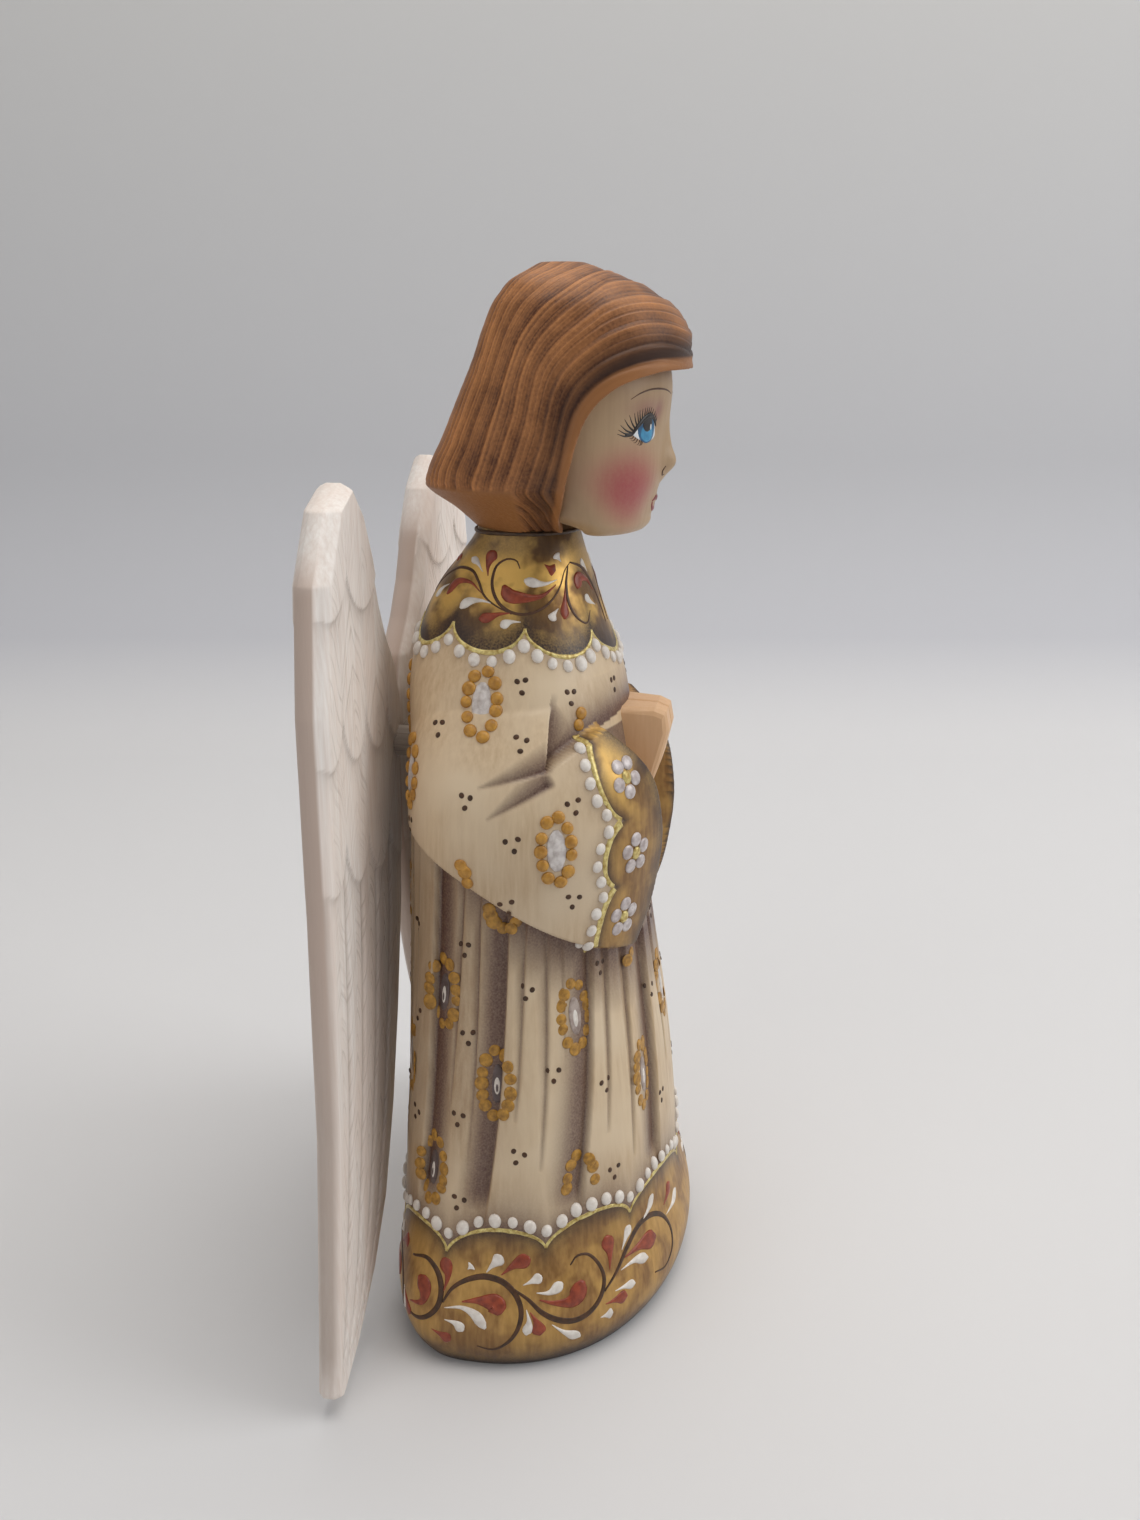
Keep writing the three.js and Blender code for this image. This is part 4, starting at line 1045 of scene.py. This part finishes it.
hemRest = [
    ("vine", 0.58, [(0.336, 17.5), (0.315, 18.6), (0.299, 17), (0.292, 14.6), (0.293, 11.8), (0.307, 9.1),
                    (0.327, 7.9), (0.342, 8.6), (0.345, 10.7)]),
    ("vine", 0.58, [(0.15, 12.5), (0.138, 14.7), (0.124, 17.7), (0.105, 20), (0.085, 19.5), (0.067, 16.9),
                    (0.059, 13.2), (0.062, 10), (0.074, 8.2), (0.093, 9.4)]),
    ("red", 1.7, [(0.332, 10), (0.312, 11.8), (0.312, 13.9), (0.322, 15.2)]),
    ("red", 1.3, [(0.289, 14.5), (0.288, 17.2), (0.296, 19.7)]),
    ("white", 1.1, [(0.153, 7.9), (0.148, 7.85), (0.142, 7.8)]),
    ("red", 1.5, [(0.144, 15.7), (0.143, 18.5), (0.146, 21.7)]),
    ("white", 1.0, [(0.13, 17.8), (0.124, 19.6), (0.118, 21.1)]),
    ("red", 1.3, [(0.149, 10.1), (0.138, 9.9), (0.128, 9.5)]),
    ("white", 0.9, [(0.14, 11.6), (0.13, 11.4), (0.119, 10.8)]),
    ("red", 1.8, [(0.128, 16.3), (0.108, 16.4), (0.086, 15.6)]),
    ("white", 1.05, [(0.133, 14.6), (0.117, 14.7), (0.101, 13.4)]),
    ("red", 1.3, [(0.063, 18.6), (0.049, 19.8), (0.043, 20.8)]),
    ("white", 1.0, [(0.103, 20), (0.089, 21.2), (0.08, 22.9)]),
    ("white", 0.95, [(0.062, 16.6), (0.04, 17), (0.031, 17.9)]),
]
collarStrokes = [
    ("twig", 0.3, [(0.232, 140.5), (0.243, 141.7), (0.261, 142), (0.276, 141.1), (0.276, 138.9),
                   (0.265, 136.4), (0.246, 134.3), (0.217, 133.3), (0.188, 133.8), (0.161, 135.5),
                   (0.141, 137.7), (0.126, 139.9), (0.106, 141)]),
    ("twig", 0.42, [(0.106, 141), (0.067, 140), (0.035, 137.6), (0.016, 134), (0.010, 129.6)]),
    ("twig", 0.34, [(0.115, 140.6), (0.128, 137.4), (0.126, 134.3), (0.11, 131.8), (0.09, 130.8),
                    (0.07, 132.6)]),
    ("twig", 0.3, [(0.424, 135.3), (0.388, 138.6), (0.347, 140.2), (0.316, 139.8), (0.296, 138.2),
                   (0.279, 136.1), (0.251, 134.2), (0.231, 133.3)]),
    ("twig", 0.3, [(0.424, 135.3), (0.445, 138.6), (0.468, 140.2), (0.488, 138.4), (0.494, 134.6)]),
    ("red", 1.3, [(0.153, 137.7), (0.186, 136), (0.218, 135.9), (0.242, 136.3), (0.254, 137.8)]),
    ("red", 1.1, [(0.285, 139.2), (0.293, 140.8), (0.295, 142.2), (0.292, 143.2)]),
    ("red", 1.15, [(0.179, 141.1), (0.168, 140.5), (0.153, 139.9)]),
    ("red", 0.9, [(0.131, 137.4), (0.135, 135.4), (0.138, 133.6), (0.14, 132.1)]),
    ("red", 1.2, [(0.033, 135.5), (0.055, 137.7), (0.083, 138.3), (0.098, 136.6)]),
    ("red", 0.95, [(0.231, 133.5), (0.249, 133.3), (0.264, 132.7), (0.276, 132.4)]),
    ("red", 0.85, [(0.283, 136.4), (0.311, 138.1), (0.335, 138), (0.344, 135.8)]),
    ("red", 0.9, [(0.468, 138.6), (0.47, 136.8), (0.471, 134.8)]),
    ("red", 1.0, [(0.372, 141.2), (0.386, 141.6), (0.402, 141.2)]),
    ("white", 0.9, [(0.15, 138.5), (0.178, 138), (0.203, 138.3), (0.219, 138.7)]),
    ("white", 0.85, [(0.135, 141.3), (0.143, 142), (0.151, 142.7)]),
    ("white", 0.85, [(0.151, 133.9), (0.16, 133.1), (0.166, 132.1)]),
    ("white", 0.9, [(0.263, 134.9), (0.283, 135.3), (0.301, 134.9), (0.308, 133.9)]),
    ("white", 0.85, [(0.215, 132.1), (0.231, 132.1), (0.245, 131.4)]),
    ("white", 0.7, [(0.297, 139.8), (0.319, 141.3), (0.336, 141.9)]),
    ("white", 0.85, [(0.043, 133.2), (0.065, 134.2), (0.076, 135.3)]),
    ("white", 0.8, [(0.036, 138.8), (0.049, 140.2), (0.06, 141)]),
    ("white", 0.85, [(0.352, 137.4), (0.366, 136.6), (0.376, 135)]),
    ("white", 0.8, [(0.445, 134.4), (0.452, 135.6), (0.458, 137)]),
]

# rings of raised dots round a brushed core: half width and half height of the ring, number of dots
medallions = {
    "sleeveRing": (2.65, 5.8), "skirtRing": (2.75, 6.1), "sleeveBeads": 11, "skirtBeads": 13,
    # turn, height and the part of the ring that shows, in degrees from the front side upwards
    "sleeve": [(0.258, 119.4, 0, 360), (0.191, 96.3, 0, 360), (0.281, 89.6, -12, 118),
               (0.127, 113.6, 88, 178), (0.362, 107.0, 0, 360), (0.42, 117, 0, 360), (0.46, 98, 0, 360)],
    "skirt": [(0.241, 84.2, 176, 364), (0.312, 67.5, 0, 360), (0.17, 64.0, 0, 360), (0.253, 52.5, 0, 360),
              (0.083, 47.7, 0, 360), (0.32, 34.8, 0, 360), (0.171, 32.6, -8, 190), (0.088, 76, 236, 304),
              (0.0, 59, 0, 360), (0.372, 52, 0, 360), (0.392, 82, 0, 360), (0.438, 66, 0, 360),
              (0.43, 36, 0, 360), (0.5, 50, 0, 360), (0.5, 84, 0, 360)],
}

# groups of three dark dots: turn, height
tripleDots = [
    (0.211, 122.4), (0.147, 120.0), (0.056, 120.0), (0.311, 115.4), (0.214, 113.7), (0.271, 104.6),
    (0.174, 103.6), (0.226, 97.7), (0.176, 86.9), (0.233, 86.4), (0.285, 76.4), (0.22, 69.4), (0.135, 71.6),
    (0.282, 60.7), (0.044, 61.4), (0.197, 54.6), (0.142, 50.4), (0.291, 45.8), (0.23, 40.0), (0.136, 33.4),
    (0.286, 30.3), (0.348, 43.5), (0.354, 78), (0.36, 98), (0.42, 106), (0.35, 62), (0.405, 66), (0.41, 45),
    (0.46, 44), (0.455, 76), (0.47, 112), (0.5, 66), (0.047, 40), (0.0, 74),
]

# scalloped borders: edge, its cusps, how far off it the pearls sit, their spacing and half size
borders = [
    (collarEdge, robe["collarCusps"], -1.65, 2.95, 1.08),
    (hemEdge, robe["hemCusps"], 1.95, 3.05, 1.05),
]

cuff = {
    "pearlTop": 112.4, "pearlFoot": 75.0, "pearls": 14, "pearlsBehind": 0.0085,
    # flowers: turn, height; then how far the petals sit from the middle, across and up
    "flowers": [(0.114, 106.4), (0.109, 92.8), (0.117, 81.0)], "petals": 5,
    "petalAcross": 2.3, "petalUp": 2.5,
}


def pearlLine(edge, out):
    # the edge moved out and smoothed, so that the pearls run on over its cusps
    turns = np.arange(4000) / 4000
    window = 81
    line = edge(turns)
    line = np.concatenate([line[-window:], line, line[:window]])
    line = np.convolve(line, np.ones(window) / window, "same")[window:-window] + out

    def at(turn):
        return np.interp(turn % 1.0, turns, line, period=1.0)
    return at


def paintBorders():
    # a pearl over every cusp and evenly spaced ones between, with a foil line along each round
    for edge, cusps, out, spacing, size in borders:
        line = pearlLine(edge, out)
        ends = roundEnds(cusps)
        for first, last in zip(ends[:-1], ends[1:]):
            along = np.linspace(first, last, 400)
            length = lengthAlong(skinAt(robeSurface, along, line(along))[0])
            # the first round comes again as the last one, and is laid there
            count = int(round(length[-1] / spacing)) if first >= 0 else 0
            for k in range(count):
                turn = np.interp(k / count * length[-1], length, along)
                scale = size * rng.uniform(0.82, 1.15)
                lean = rng.uniform(-0.3, 0.3)
                bead("pearl", robeSurface, turn, line(turn), scale, 1.18 * scale, 0.7 * scale, lean)
            inner = np.linspace(first + 1e-4, last - 1e-4, 120)
            swell = 0.14 + 0.2 * np.sin(np.linspace(0, math.pi, 15)) + 0.16 * rng.random(15)
            if count:
                stroke("foil", robeSurface, list(zip(inner, edge(inner) + 0.1 * out)), swell, 0.14, 70)


def brushStrokes(strokes, shift=0.0, scale=1.0):
    for side in (1, -1):
        for paint, width, points in strokes:
            path = [(side * (turn + shift), height * scale) for turn, height in points]
            line = paint in ("vine", "twig")
            widths = (vineWidths if line else commaWidths) * width
            stroke(paint, robeSurface, path, widths, 0.14 if line else 0.22, 48 if line else 22)


def paintCuffs():
    for side in (1, -1):
        for high, low in [ends[:2] for ends in robe["cuffRounds"]]:
            heights = np.linspace(high - (3.0 if high > 116 else 0.25), low + (4.0 if low < 71 else 0.25), 60)
            widths = 0.3 + 0.42 * np.linspace(1, 0, 9) ** 1.4 + 0.14 * rng.random(9)
            stroke("foil", robeSurface, list(zip(side * cuffEdge(heights), heights)), widths, 0.16, 60)
        heights = np.linspace(cuff["pearlTop"], cuff["pearlFoot"], 400)
        smoothed = np.convolve(np.pad(cuffEdge(heights), 20, mode="edge"), np.ones(41) / 41, "valid")
        behind = smoothed + cuff["pearlsBehind"]
        length = lengthAlong(skinAt(robeSurface, behind, heights)[0])
        for share in (np.arange(cuff["pearls"]) + 0.5) / cuff["pearls"]:
            height = np.interp(share * length[-1], length, heights)
            turn = side * np.interp(share * length[-1], length, behind)
            size = rng.uniform(0.9, 1.1)
            bead("pearl", robeSurface, turn, height, size, 1.15 * size, 0.7 * size, rng.uniform(-0.4, 0.4))
        for turn, height in cuff["flowers"]:
            tilt = rng.uniform(0, 1)
            for k in range(cuff["petals"]):
                angle = (k + tilt) / cuff["petals"] * 2 * math.pi
                petalTurn = side * (turn + cuff["petalAcross"] * math.cos(angle) / robe["sleeveGirth"])
                petalHeight = height + cuff["petalUp"] * math.sin(angle)
                bead("lustre", robeSurface, petalTurn, petalHeight, 1.3, 1.35, 0.4, angle)
            bead("foil", robeSurface, side * turn, height, 1.05, 1.2, 0.5)


def ringAngles(across, tall, count):
    # angles that step evenly round an oval
    fine = np.linspace(0, 2 * math.pi, 721)
    length = lengthAlong(np.stack([across * np.cos(fine), tall * np.sin(fine)], -1))
    return np.interp((np.arange(count) + 0.5) / count * length[-1], length, fine)


def medallionRing(kind, side, turn, height, first, last):
    across, tall = medallions[kind + "Ring"]
    # millimetres along the skin for each turn and for each millimetre of height
    near = skinAt(robeSurface, side * turn + np.array([-0.01, 0.01, 0, 0]),
                  height + np.array([0, 0, -2.0, 2.0]))[0]
    perTurn = np.linalg.norm(near[1] - near[0]) / 0.02
    perHeight = np.linalg.norm(near[3] - near[2]) / 4
    for angle in ringAngles(across, tall, medallions[kind + "Beads"]):
        if not first <= (math.degrees(angle) - first) % 360 + first <= last:
            continue
        angle = angle + rng.uniform(-0.06, 0.06)
        dotTurn = side * (turn - across * math.cos(angle) / perTurn)
        dotHeight = height + tall * math.sin(angle) / perHeight
        if dotHeight - hemEdge(np.array(dotTurn)) < 2.6:
            continue
        if kind == "sleeve":
            size = 1.12 * rng.uniform(0.9, 1.1)
            bead("ochre", robeSurface, dotTurn, dotHeight, size, 1.05 * size, 0.6, angle)
        else:
            size = 1.12 * rng.uniform(0.9, 1.15)
            stretch = rng.uniform(0.9, 1.2)
            bead("wash", robeSurface, dotTurn, dotHeight, size, size * stretch, 0.22, rng.uniform(0, 3))


def medallionCore(kind, turn, height):
    if kind == "sleeve":
        bead("pale", robeSurface, turn, height, 1.7, 3.7, 0.2)
        bead("pale", robeSurface, turn, height + 0.4, 0.8, 2.0, 0.34)
        return
    # thin paint looks darker over a fold's painted shade: cores there get the grey and hazy paints
    row = np.searchsorted(robeHeights, height)
    column = int((turn % 1.0) * robe["columns"])
    onFold = robeMarks["shade"][row, column] > 0.4
    sunk = onFold and abs(turn) > 0.2
    core = "grey" if sunk else "haze" if onFold else "pale"
    bead(core, robeSurface, turn, height, 1.35, 3.6, 0.14)
    bead("white", robeSurface, turn, height - 0.4, 0.6, 1.8, 0.26)
    if sunk:
        bead("grey", robeSurface, turn, height - 0.7, 0.3, 1.0, 0.34)


def onSides(turn):
    # both sides of the figure, but only once on its middle lines
    return (1,) if turn in (0, 0.5) else (1, -1)


def paintMedallions():
    for side in (1, -1):
        for kind in ("sleeve", "skirt"):
            for turn, height, first, last in medallions[kind]:
                if side not in onSides(turn):
                    continue
                medallionRing(kind, side, turn, height, first, last)
                if last - first == 360:
                    medallionCore(kind, side * turn, height)


def paintTripleDots():
    for side in (1, -1):
        for turn, height in tripleDots:
            if side not in onSides(turn):
                continue
            tilt = rng.uniform(-0.3, 0.3)
            for k in range(3):
                angle = math.pi / 6 + k * 2 * math.pi / 3 + tilt
                dotTurn = side * (turn + 1.05 * math.cos(angle) / robe["skirtGirth"])
                dotHeight = height + 1.25 * math.sin(angle)
                bead("umber", robeSurface, dotTurn, dotHeight, 0.46, 0.52, 0.16, rng.uniform(0, 3))


paintBorders()
brushStrokes(hemOver + hemUnder + hemRest)
brushStrokes(hemOver, 0.134, 0.88)
brushStrokes(hemUnder, 0.2764, 0.88)
brushStrokes(collarStrokes)
paintCuffs()
paintMedallions()
paintTripleDots()
print("ornament painted")


# The face paint

face = {
    # outline of the eye, then discs: (turn, height) and half sizes
    "white": [(0.133, 162.8), (0.118, 162.1), (0.1, 161.5), (0.083, 161.6), (0.067, 162.3), (0.066, 163.6),
              (0.072, 164.7), (0.092, 165.6), (0.106, 165.3), (0.117, 164.4), (0.127, 163.5)],
    "iris": (0.0905, 163.55, 0.0265, 2.2), "irisCore": (0.09, 163.0, 0.0195, 1.5),
    "pupil": (0.0893, 164.4, 0.0158, 1.3), "glint": (0.0795, 163.9, 0.0024, 0.5),
    "lid": [(0.149, 162.9), (0.135, 162.9), (0.125, 163.8), (0.115, 164.6), (0.102, 165.4), (0.087, 165.7),
            (0.071, 165), (0.062, 163.9)],
    "lidWidths": [0.1, 0.26, 0.4, 0.48, 0.54, 0.52, 0.4, 0.12], "shift": -0.004,
    # each lash: turn and height of its root, then of its tip
    "lashes": [(0.135, 162.8, 0.165, 163.1), (0.133, 163.1, 0.161, 164.3), (0.128, 163.6, 0.148, 165.8),
               (0.121, 164.3, 0.13, 166.4), (0.114, 164.8, 0.12, 166.8), (0.106, 165.2, 0.107, 167.1),
               (0.097, 165.5, 0.096, 167.2), (0.087, 165.7, 0.084, 167), (0.075, 165.3, 0.07, 166.3),
               (0.066, 164.6, 0.062, 165.4)],
    "lowerLashes": [(0.129, 162.6, 0.14, 162.4), (0.121, 162.2, 0.132, 161.7), (0.112, 161.9, 0.119, 161.1),
                    (0.106, 161.7, 0.113, 161.1)],
    # lines: paint, half widths, points
    "lines": [
        ("brow", [0.05, 0.12, 0.15, 0.17, 0.15, 0.06],
         [(0.14, 168.5), (0.121, 169.35), (0.097, 169.9), (0.067, 170), (0.032, 169.6), (0.012, 169)]),
        ("brow", [0.08, 0.16, 0.16, 0.06], [(0.019, 157.2), (0.022, 156.2), (0.017, 155.6), (0.012, 155.8)]),
        ("lip", [0.14, 0.3, 0.42, 0.34], [(0.028, 151.3), (0.018, 151.6), (0.008, 151.8), (0.0, 151.5)]),
        ("lip", [0.12, 0.32, 0.45, 0.45], [(0.026, 151.1), (0.018, 150.3), (0.009, 149.8), (0.0, 149.7)]),
    ],
}


def patch(paint, skin, side, outline, lift):
    # a thin closed film of paint that follows the skin
    outline = np.array(outline, float)
    middle = outline.mean(0)
    rings = []
    for spread, rise in ((0.98, -0.5), (1.0, 0.4), (0.92, 0.9), (0.7, 1.0), (0.45, 1.0), (0.2, 1.0),
                         (0.03, 1.0)):
        ring = middle + (outline - middle) * spread
        points, normals = skinAt(skin, side * ring[:, 0], ring[:, 1])
        rings.append(points + normals * lift * rise)
    points, faces = closedRings(rings)
    spokes = outline - middle
    nextSpokes = np.roll(spokes, -1, 0)
    turned = (spokes[:, 0] * nextSpokes[:, 1] - spokes[:, 1] * nextSpokes[:, 0]).sum() * side < 0
    keepBrushWork(paint, points, [f[::-1] for f in faces] if turned else faces)


def ellipse(turn, height, across, tall, count=28):
    around = np.arange(count) / count * 2 * math.pi
    return np.stack([turn + across * np.cos(around), height + tall * np.sin(around)], -1)


def paintFace():
    for side in (1, -1):
        closed = np.array(face["white"] + face["white"][:1], float) + (face["shift"], 0)
        patch("eyeWhite", faceSurface, side, fineCurve(closed, 49)[:-1], 0.06)
        patch("iris", faceSurface, side, ellipse(*face["iris"]), 0.11)
        patch("irisCore", faceSurface, side, ellipse(*face["irisCore"]), 0.14)
        patch("pupil", faceSurface, side, ellipse(*face["pupil"]), 0.18)
        patch("eyeWhite", faceSurface, side, ellipse(*face["glint"]), 0.22)
        lid = [(side * (turn + face["shift"]), height) for turn, height in face["lid"]]
        stroke("pupil", faceSurface, lid, face["lidWidths"], 0.24, 40)
        for key, paint, count, width in (("lashes", "pupil", 17, 1.0), ("lowerLashes", "brow", 6, 0.7)):
            for lash in fineCurve(face[key], count):
                root, tip = lash[:2], lash[2:]
                path = [root, (root + tip) / 2 - (0, 0.25), tip]
                path = [(side * (turn + face["shift"]), height) for turn, height in path]
                stroke(paint, faceSurface, path, np.array([0.2, 0.16, 0.1, 0.04]) * width, 0.1, 12)
        for paint, widths, points in face["lines"]:
            stroke(paint, faceSurface, [(side * turn, height) for turn, height in points], widths, 0.14, 30)


paintFace()
print("face painted")


# Glue seam round the neck

seam = {"height": 146.1, "radius": 0.36, "columns": 160, "around": 8, "ring": (10.3, 8.0, -9.9, 0.0)}


def makeSeam():
    turn = np.arange(seam["columns"]) / seam["columns"] * 2 * math.pi
    ring = oval(np.array([seam["ring"]]), turn, robe["front"], robe["rear"])
    rough = 0.75 + 0.5 * rng.random(seam["columns"])
    rough = (rough + np.roll(rough, 1) + np.roll(rough, -1)) / 3
    outward = ring / np.linalg.norm(ring, axis=1, keepdims=True)
    rings = []
    for k in range(seam["around"]):
        angle = -k / seam["around"] * 2 * math.pi
        reach = seam["radius"] * rough * math.cos(angle)
        rise = seam["radius"] * rough * math.sin(angle)
        rings.append(np.concatenate([ring + outward * reach[:, None], (seam["height"] + rise)[:, None]], 1))
    table = np.array(rings)
    rows, columns = table.shape[:2]
    index = np.arange(rows * columns).reshape(rows, columns)
    under, right = np.roll(index, -1, 0), np.roll(index, -1, 1)
    corner = np.roll(under, -1, 1)
    faces = np.stack([index, right, corner, under], -1).reshape(-1, 4).tolist()
    makePiece("neck_seam", table.reshape(-1, 3), faces, gluePaint, "figure")


makeSeam()
paints = {
    "painted_robe": {
        "pearl": pearlPaint, "lustre": lustrePaint, "foil": foilPaint, "ochre": ochrePaint, "wash": washPaint,
        "pale": palePaint, "haze": hazePaint, "grey": greyPaint, "umber": umberPaint, "vine": umberPaint,
        "twig": browPaint, "red": redPaint, "white": pearlPaint,
    },
    "painted_head": {
        "eyeWhite": eyeWhitePaint, "iris": irisPaint, "irisCore": irisCorePaint, "pupil": blackPaint,
        "brow": browPaint, "lip": lipPaint,
    },
}
for paint, store in brushWork.items():
    slot = "painted_head" if paint in paints["painted_head"] else "painted_robe"
    points = np.concatenate(store["points"])
    makePiece(f"paint_{paint}", points, store["faces"], paints[slot][paint], "figure")
print("paint laid", {paint: store["count"] for paint, store in brushWork.items()})


# Stage, light and camera

camera = {
    # place in millimetres, the way it looks, focal length and sensor width
    "place": (-237.85, -46.79, 178.15), "aim": (0.94114, 0.16058, -0.29743), "lens": 32.16, "sensor": 36,
}
sweep = {
    # in metres: where the floor starts to bend up, its radius and how far the paper reaches
    "start": 0.34, "radius": 0.12, "ahead": 1.6, "height": 2.2, "halfWidth": 2.0,
    # paper tones and the heights that they change at: painted shade greys the paper up the wall, and painted
    # light lifts it again near the top
    "floor": "#dcdcdd", "wall": "#c6c7cc", "top": "#cfcfce", "wallFrom": 0.035, "topFrom": 0.35,
}
lamps = {
    # place and target in metres, width, watts, tint
    "overheadSoftbox": ((0.05, -0.15, 1.0), (0, 0, 0.05), 1.0, 6.2, "#fffaf4"),
    "windowSoftbox": ((0.05, -1.0, 0.6), (0, 0, 0.1), 0.8, 4.0, "#ffffff"),
    "roomFill": ((-0.8, 0.5, 0.5), (0, 0, 0.1), 0.9, 1.35, "#fbf7f2"),
}
room = {"tint": "#e8ebf0", "strength": 0.30}


def makeStage():
    # a pale paper sweep: floor running up into a wall behind the figure, greyed by painted shade
    material, tree, shader, place = newFinish("palePaperSweep", {"Roughness": 0.9})
    height = addNode(tree, "SeparateXYZ", {}, {"Vector": place}, 2)
    low = addNode(tree, "MapRange", {"From Max": sweep["wallFrom"]}, {"Value": height})
    high = addNode(tree, "MapRange", {"From Min": sweep["wallFrom"], "From Max": sweep["topFrom"]},
                   {"Value": height})
    floor, wall, top = [toLinear(sweep[key]) for key in ("floor", "wall", "top")]
    tone = addNode(tree, "Mix", {"data_type": "RGBA", 6: floor, 7: wall}, {0: low}, 2)
    tone = addNode(tree, "Mix", {"data_type": "RGBA", 7: top}, {0: high, 6: tone}, 2)
    tree.links.new(tone, shader["Base Color"])
    start, radius = sweep["start"], sweep["radius"]
    profile = [(-sweep["ahead"], 0.0), (start, 0.0)]
    for step in range(1, 13):
        turn = step / 12 * math.pi / 2
        profile.append((start + radius * math.sin(turn), radius * (1 - math.cos(turn))))
    profile.append((start + radius, sweep["height"]))
    points, faces = [], []
    for along, up in profile:
        points += [(along, -sweep["halfWidth"], up), (along, sweep["halfWidth"], up)]
    for i in range(len(profile) - 1):
        faces.append((2 * i, 2 * i + 2, 2 * i + 3, 2 * i + 1))
    mesh = bpy.data.meshes.new("paperSweep")
    mesh.from_pydata(points, [], faces)
    mesh.polygons.foreach_set("use_smooth", [True] * len(faces))
    mesh.materials.append(material)
    paper = bpy.data.objects.new("paper_sweep", mesh)
    paper.rotation_euler[2] = math.atan2(camera["aim"][1], camera["aim"][0])
    bpy.context.scene.collection.objects.link(paper)


def makeLamp(name, place, target, size, watts, tint):
    data = bpy.data.lights.new(name, "AREA")
    data.shape = "DISK"
    data.size = size
    data.energy = watts
    data.color = toLinear(tint)[:3]
    lamp = bpy.data.objects.new(name, data)
    lamp.location = place
    lamp.rotation_euler = (Vector(target) - Vector(place)).to_track_quat("-Z", "Y").to_euler()
    bpy.context.scene.collection.objects.link(lamp)


makeStage()
for name, settings in lamps.items():
    makeLamp(name, *settings)
world = bpy.data.worlds.new("softRoom")
world.use_nodes = True
world.node_tree.nodes["Background"].inputs["Color"].default_value = toLinear(room["tint"])
world.node_tree.nodes["Background"].inputs["Strength"].default_value = room["strength"]
bpy.context.scene.world = world
cameraData = bpy.data.cameras.new("photoCamera")
cameraData.lens = camera["lens"]
cameraData.sensor_width = camera["sensor"]
cameraData.clip_start = 0.01
cameraObject = bpy.data.objects.new("photoCamera", cameraData)
cameraObject.location = Vector(camera["place"]) * mm
cameraObject.rotation_euler = Vector(camera["aim"]).to_track_quat("-Z", "Y").to_euler()
bpy.context.scene.collection.objects.link(cameraObject)
bpy.context.scene.camera = cameraObject
bpy.context.scene.view_settings.view_transform = "Standard"
print("stage set")
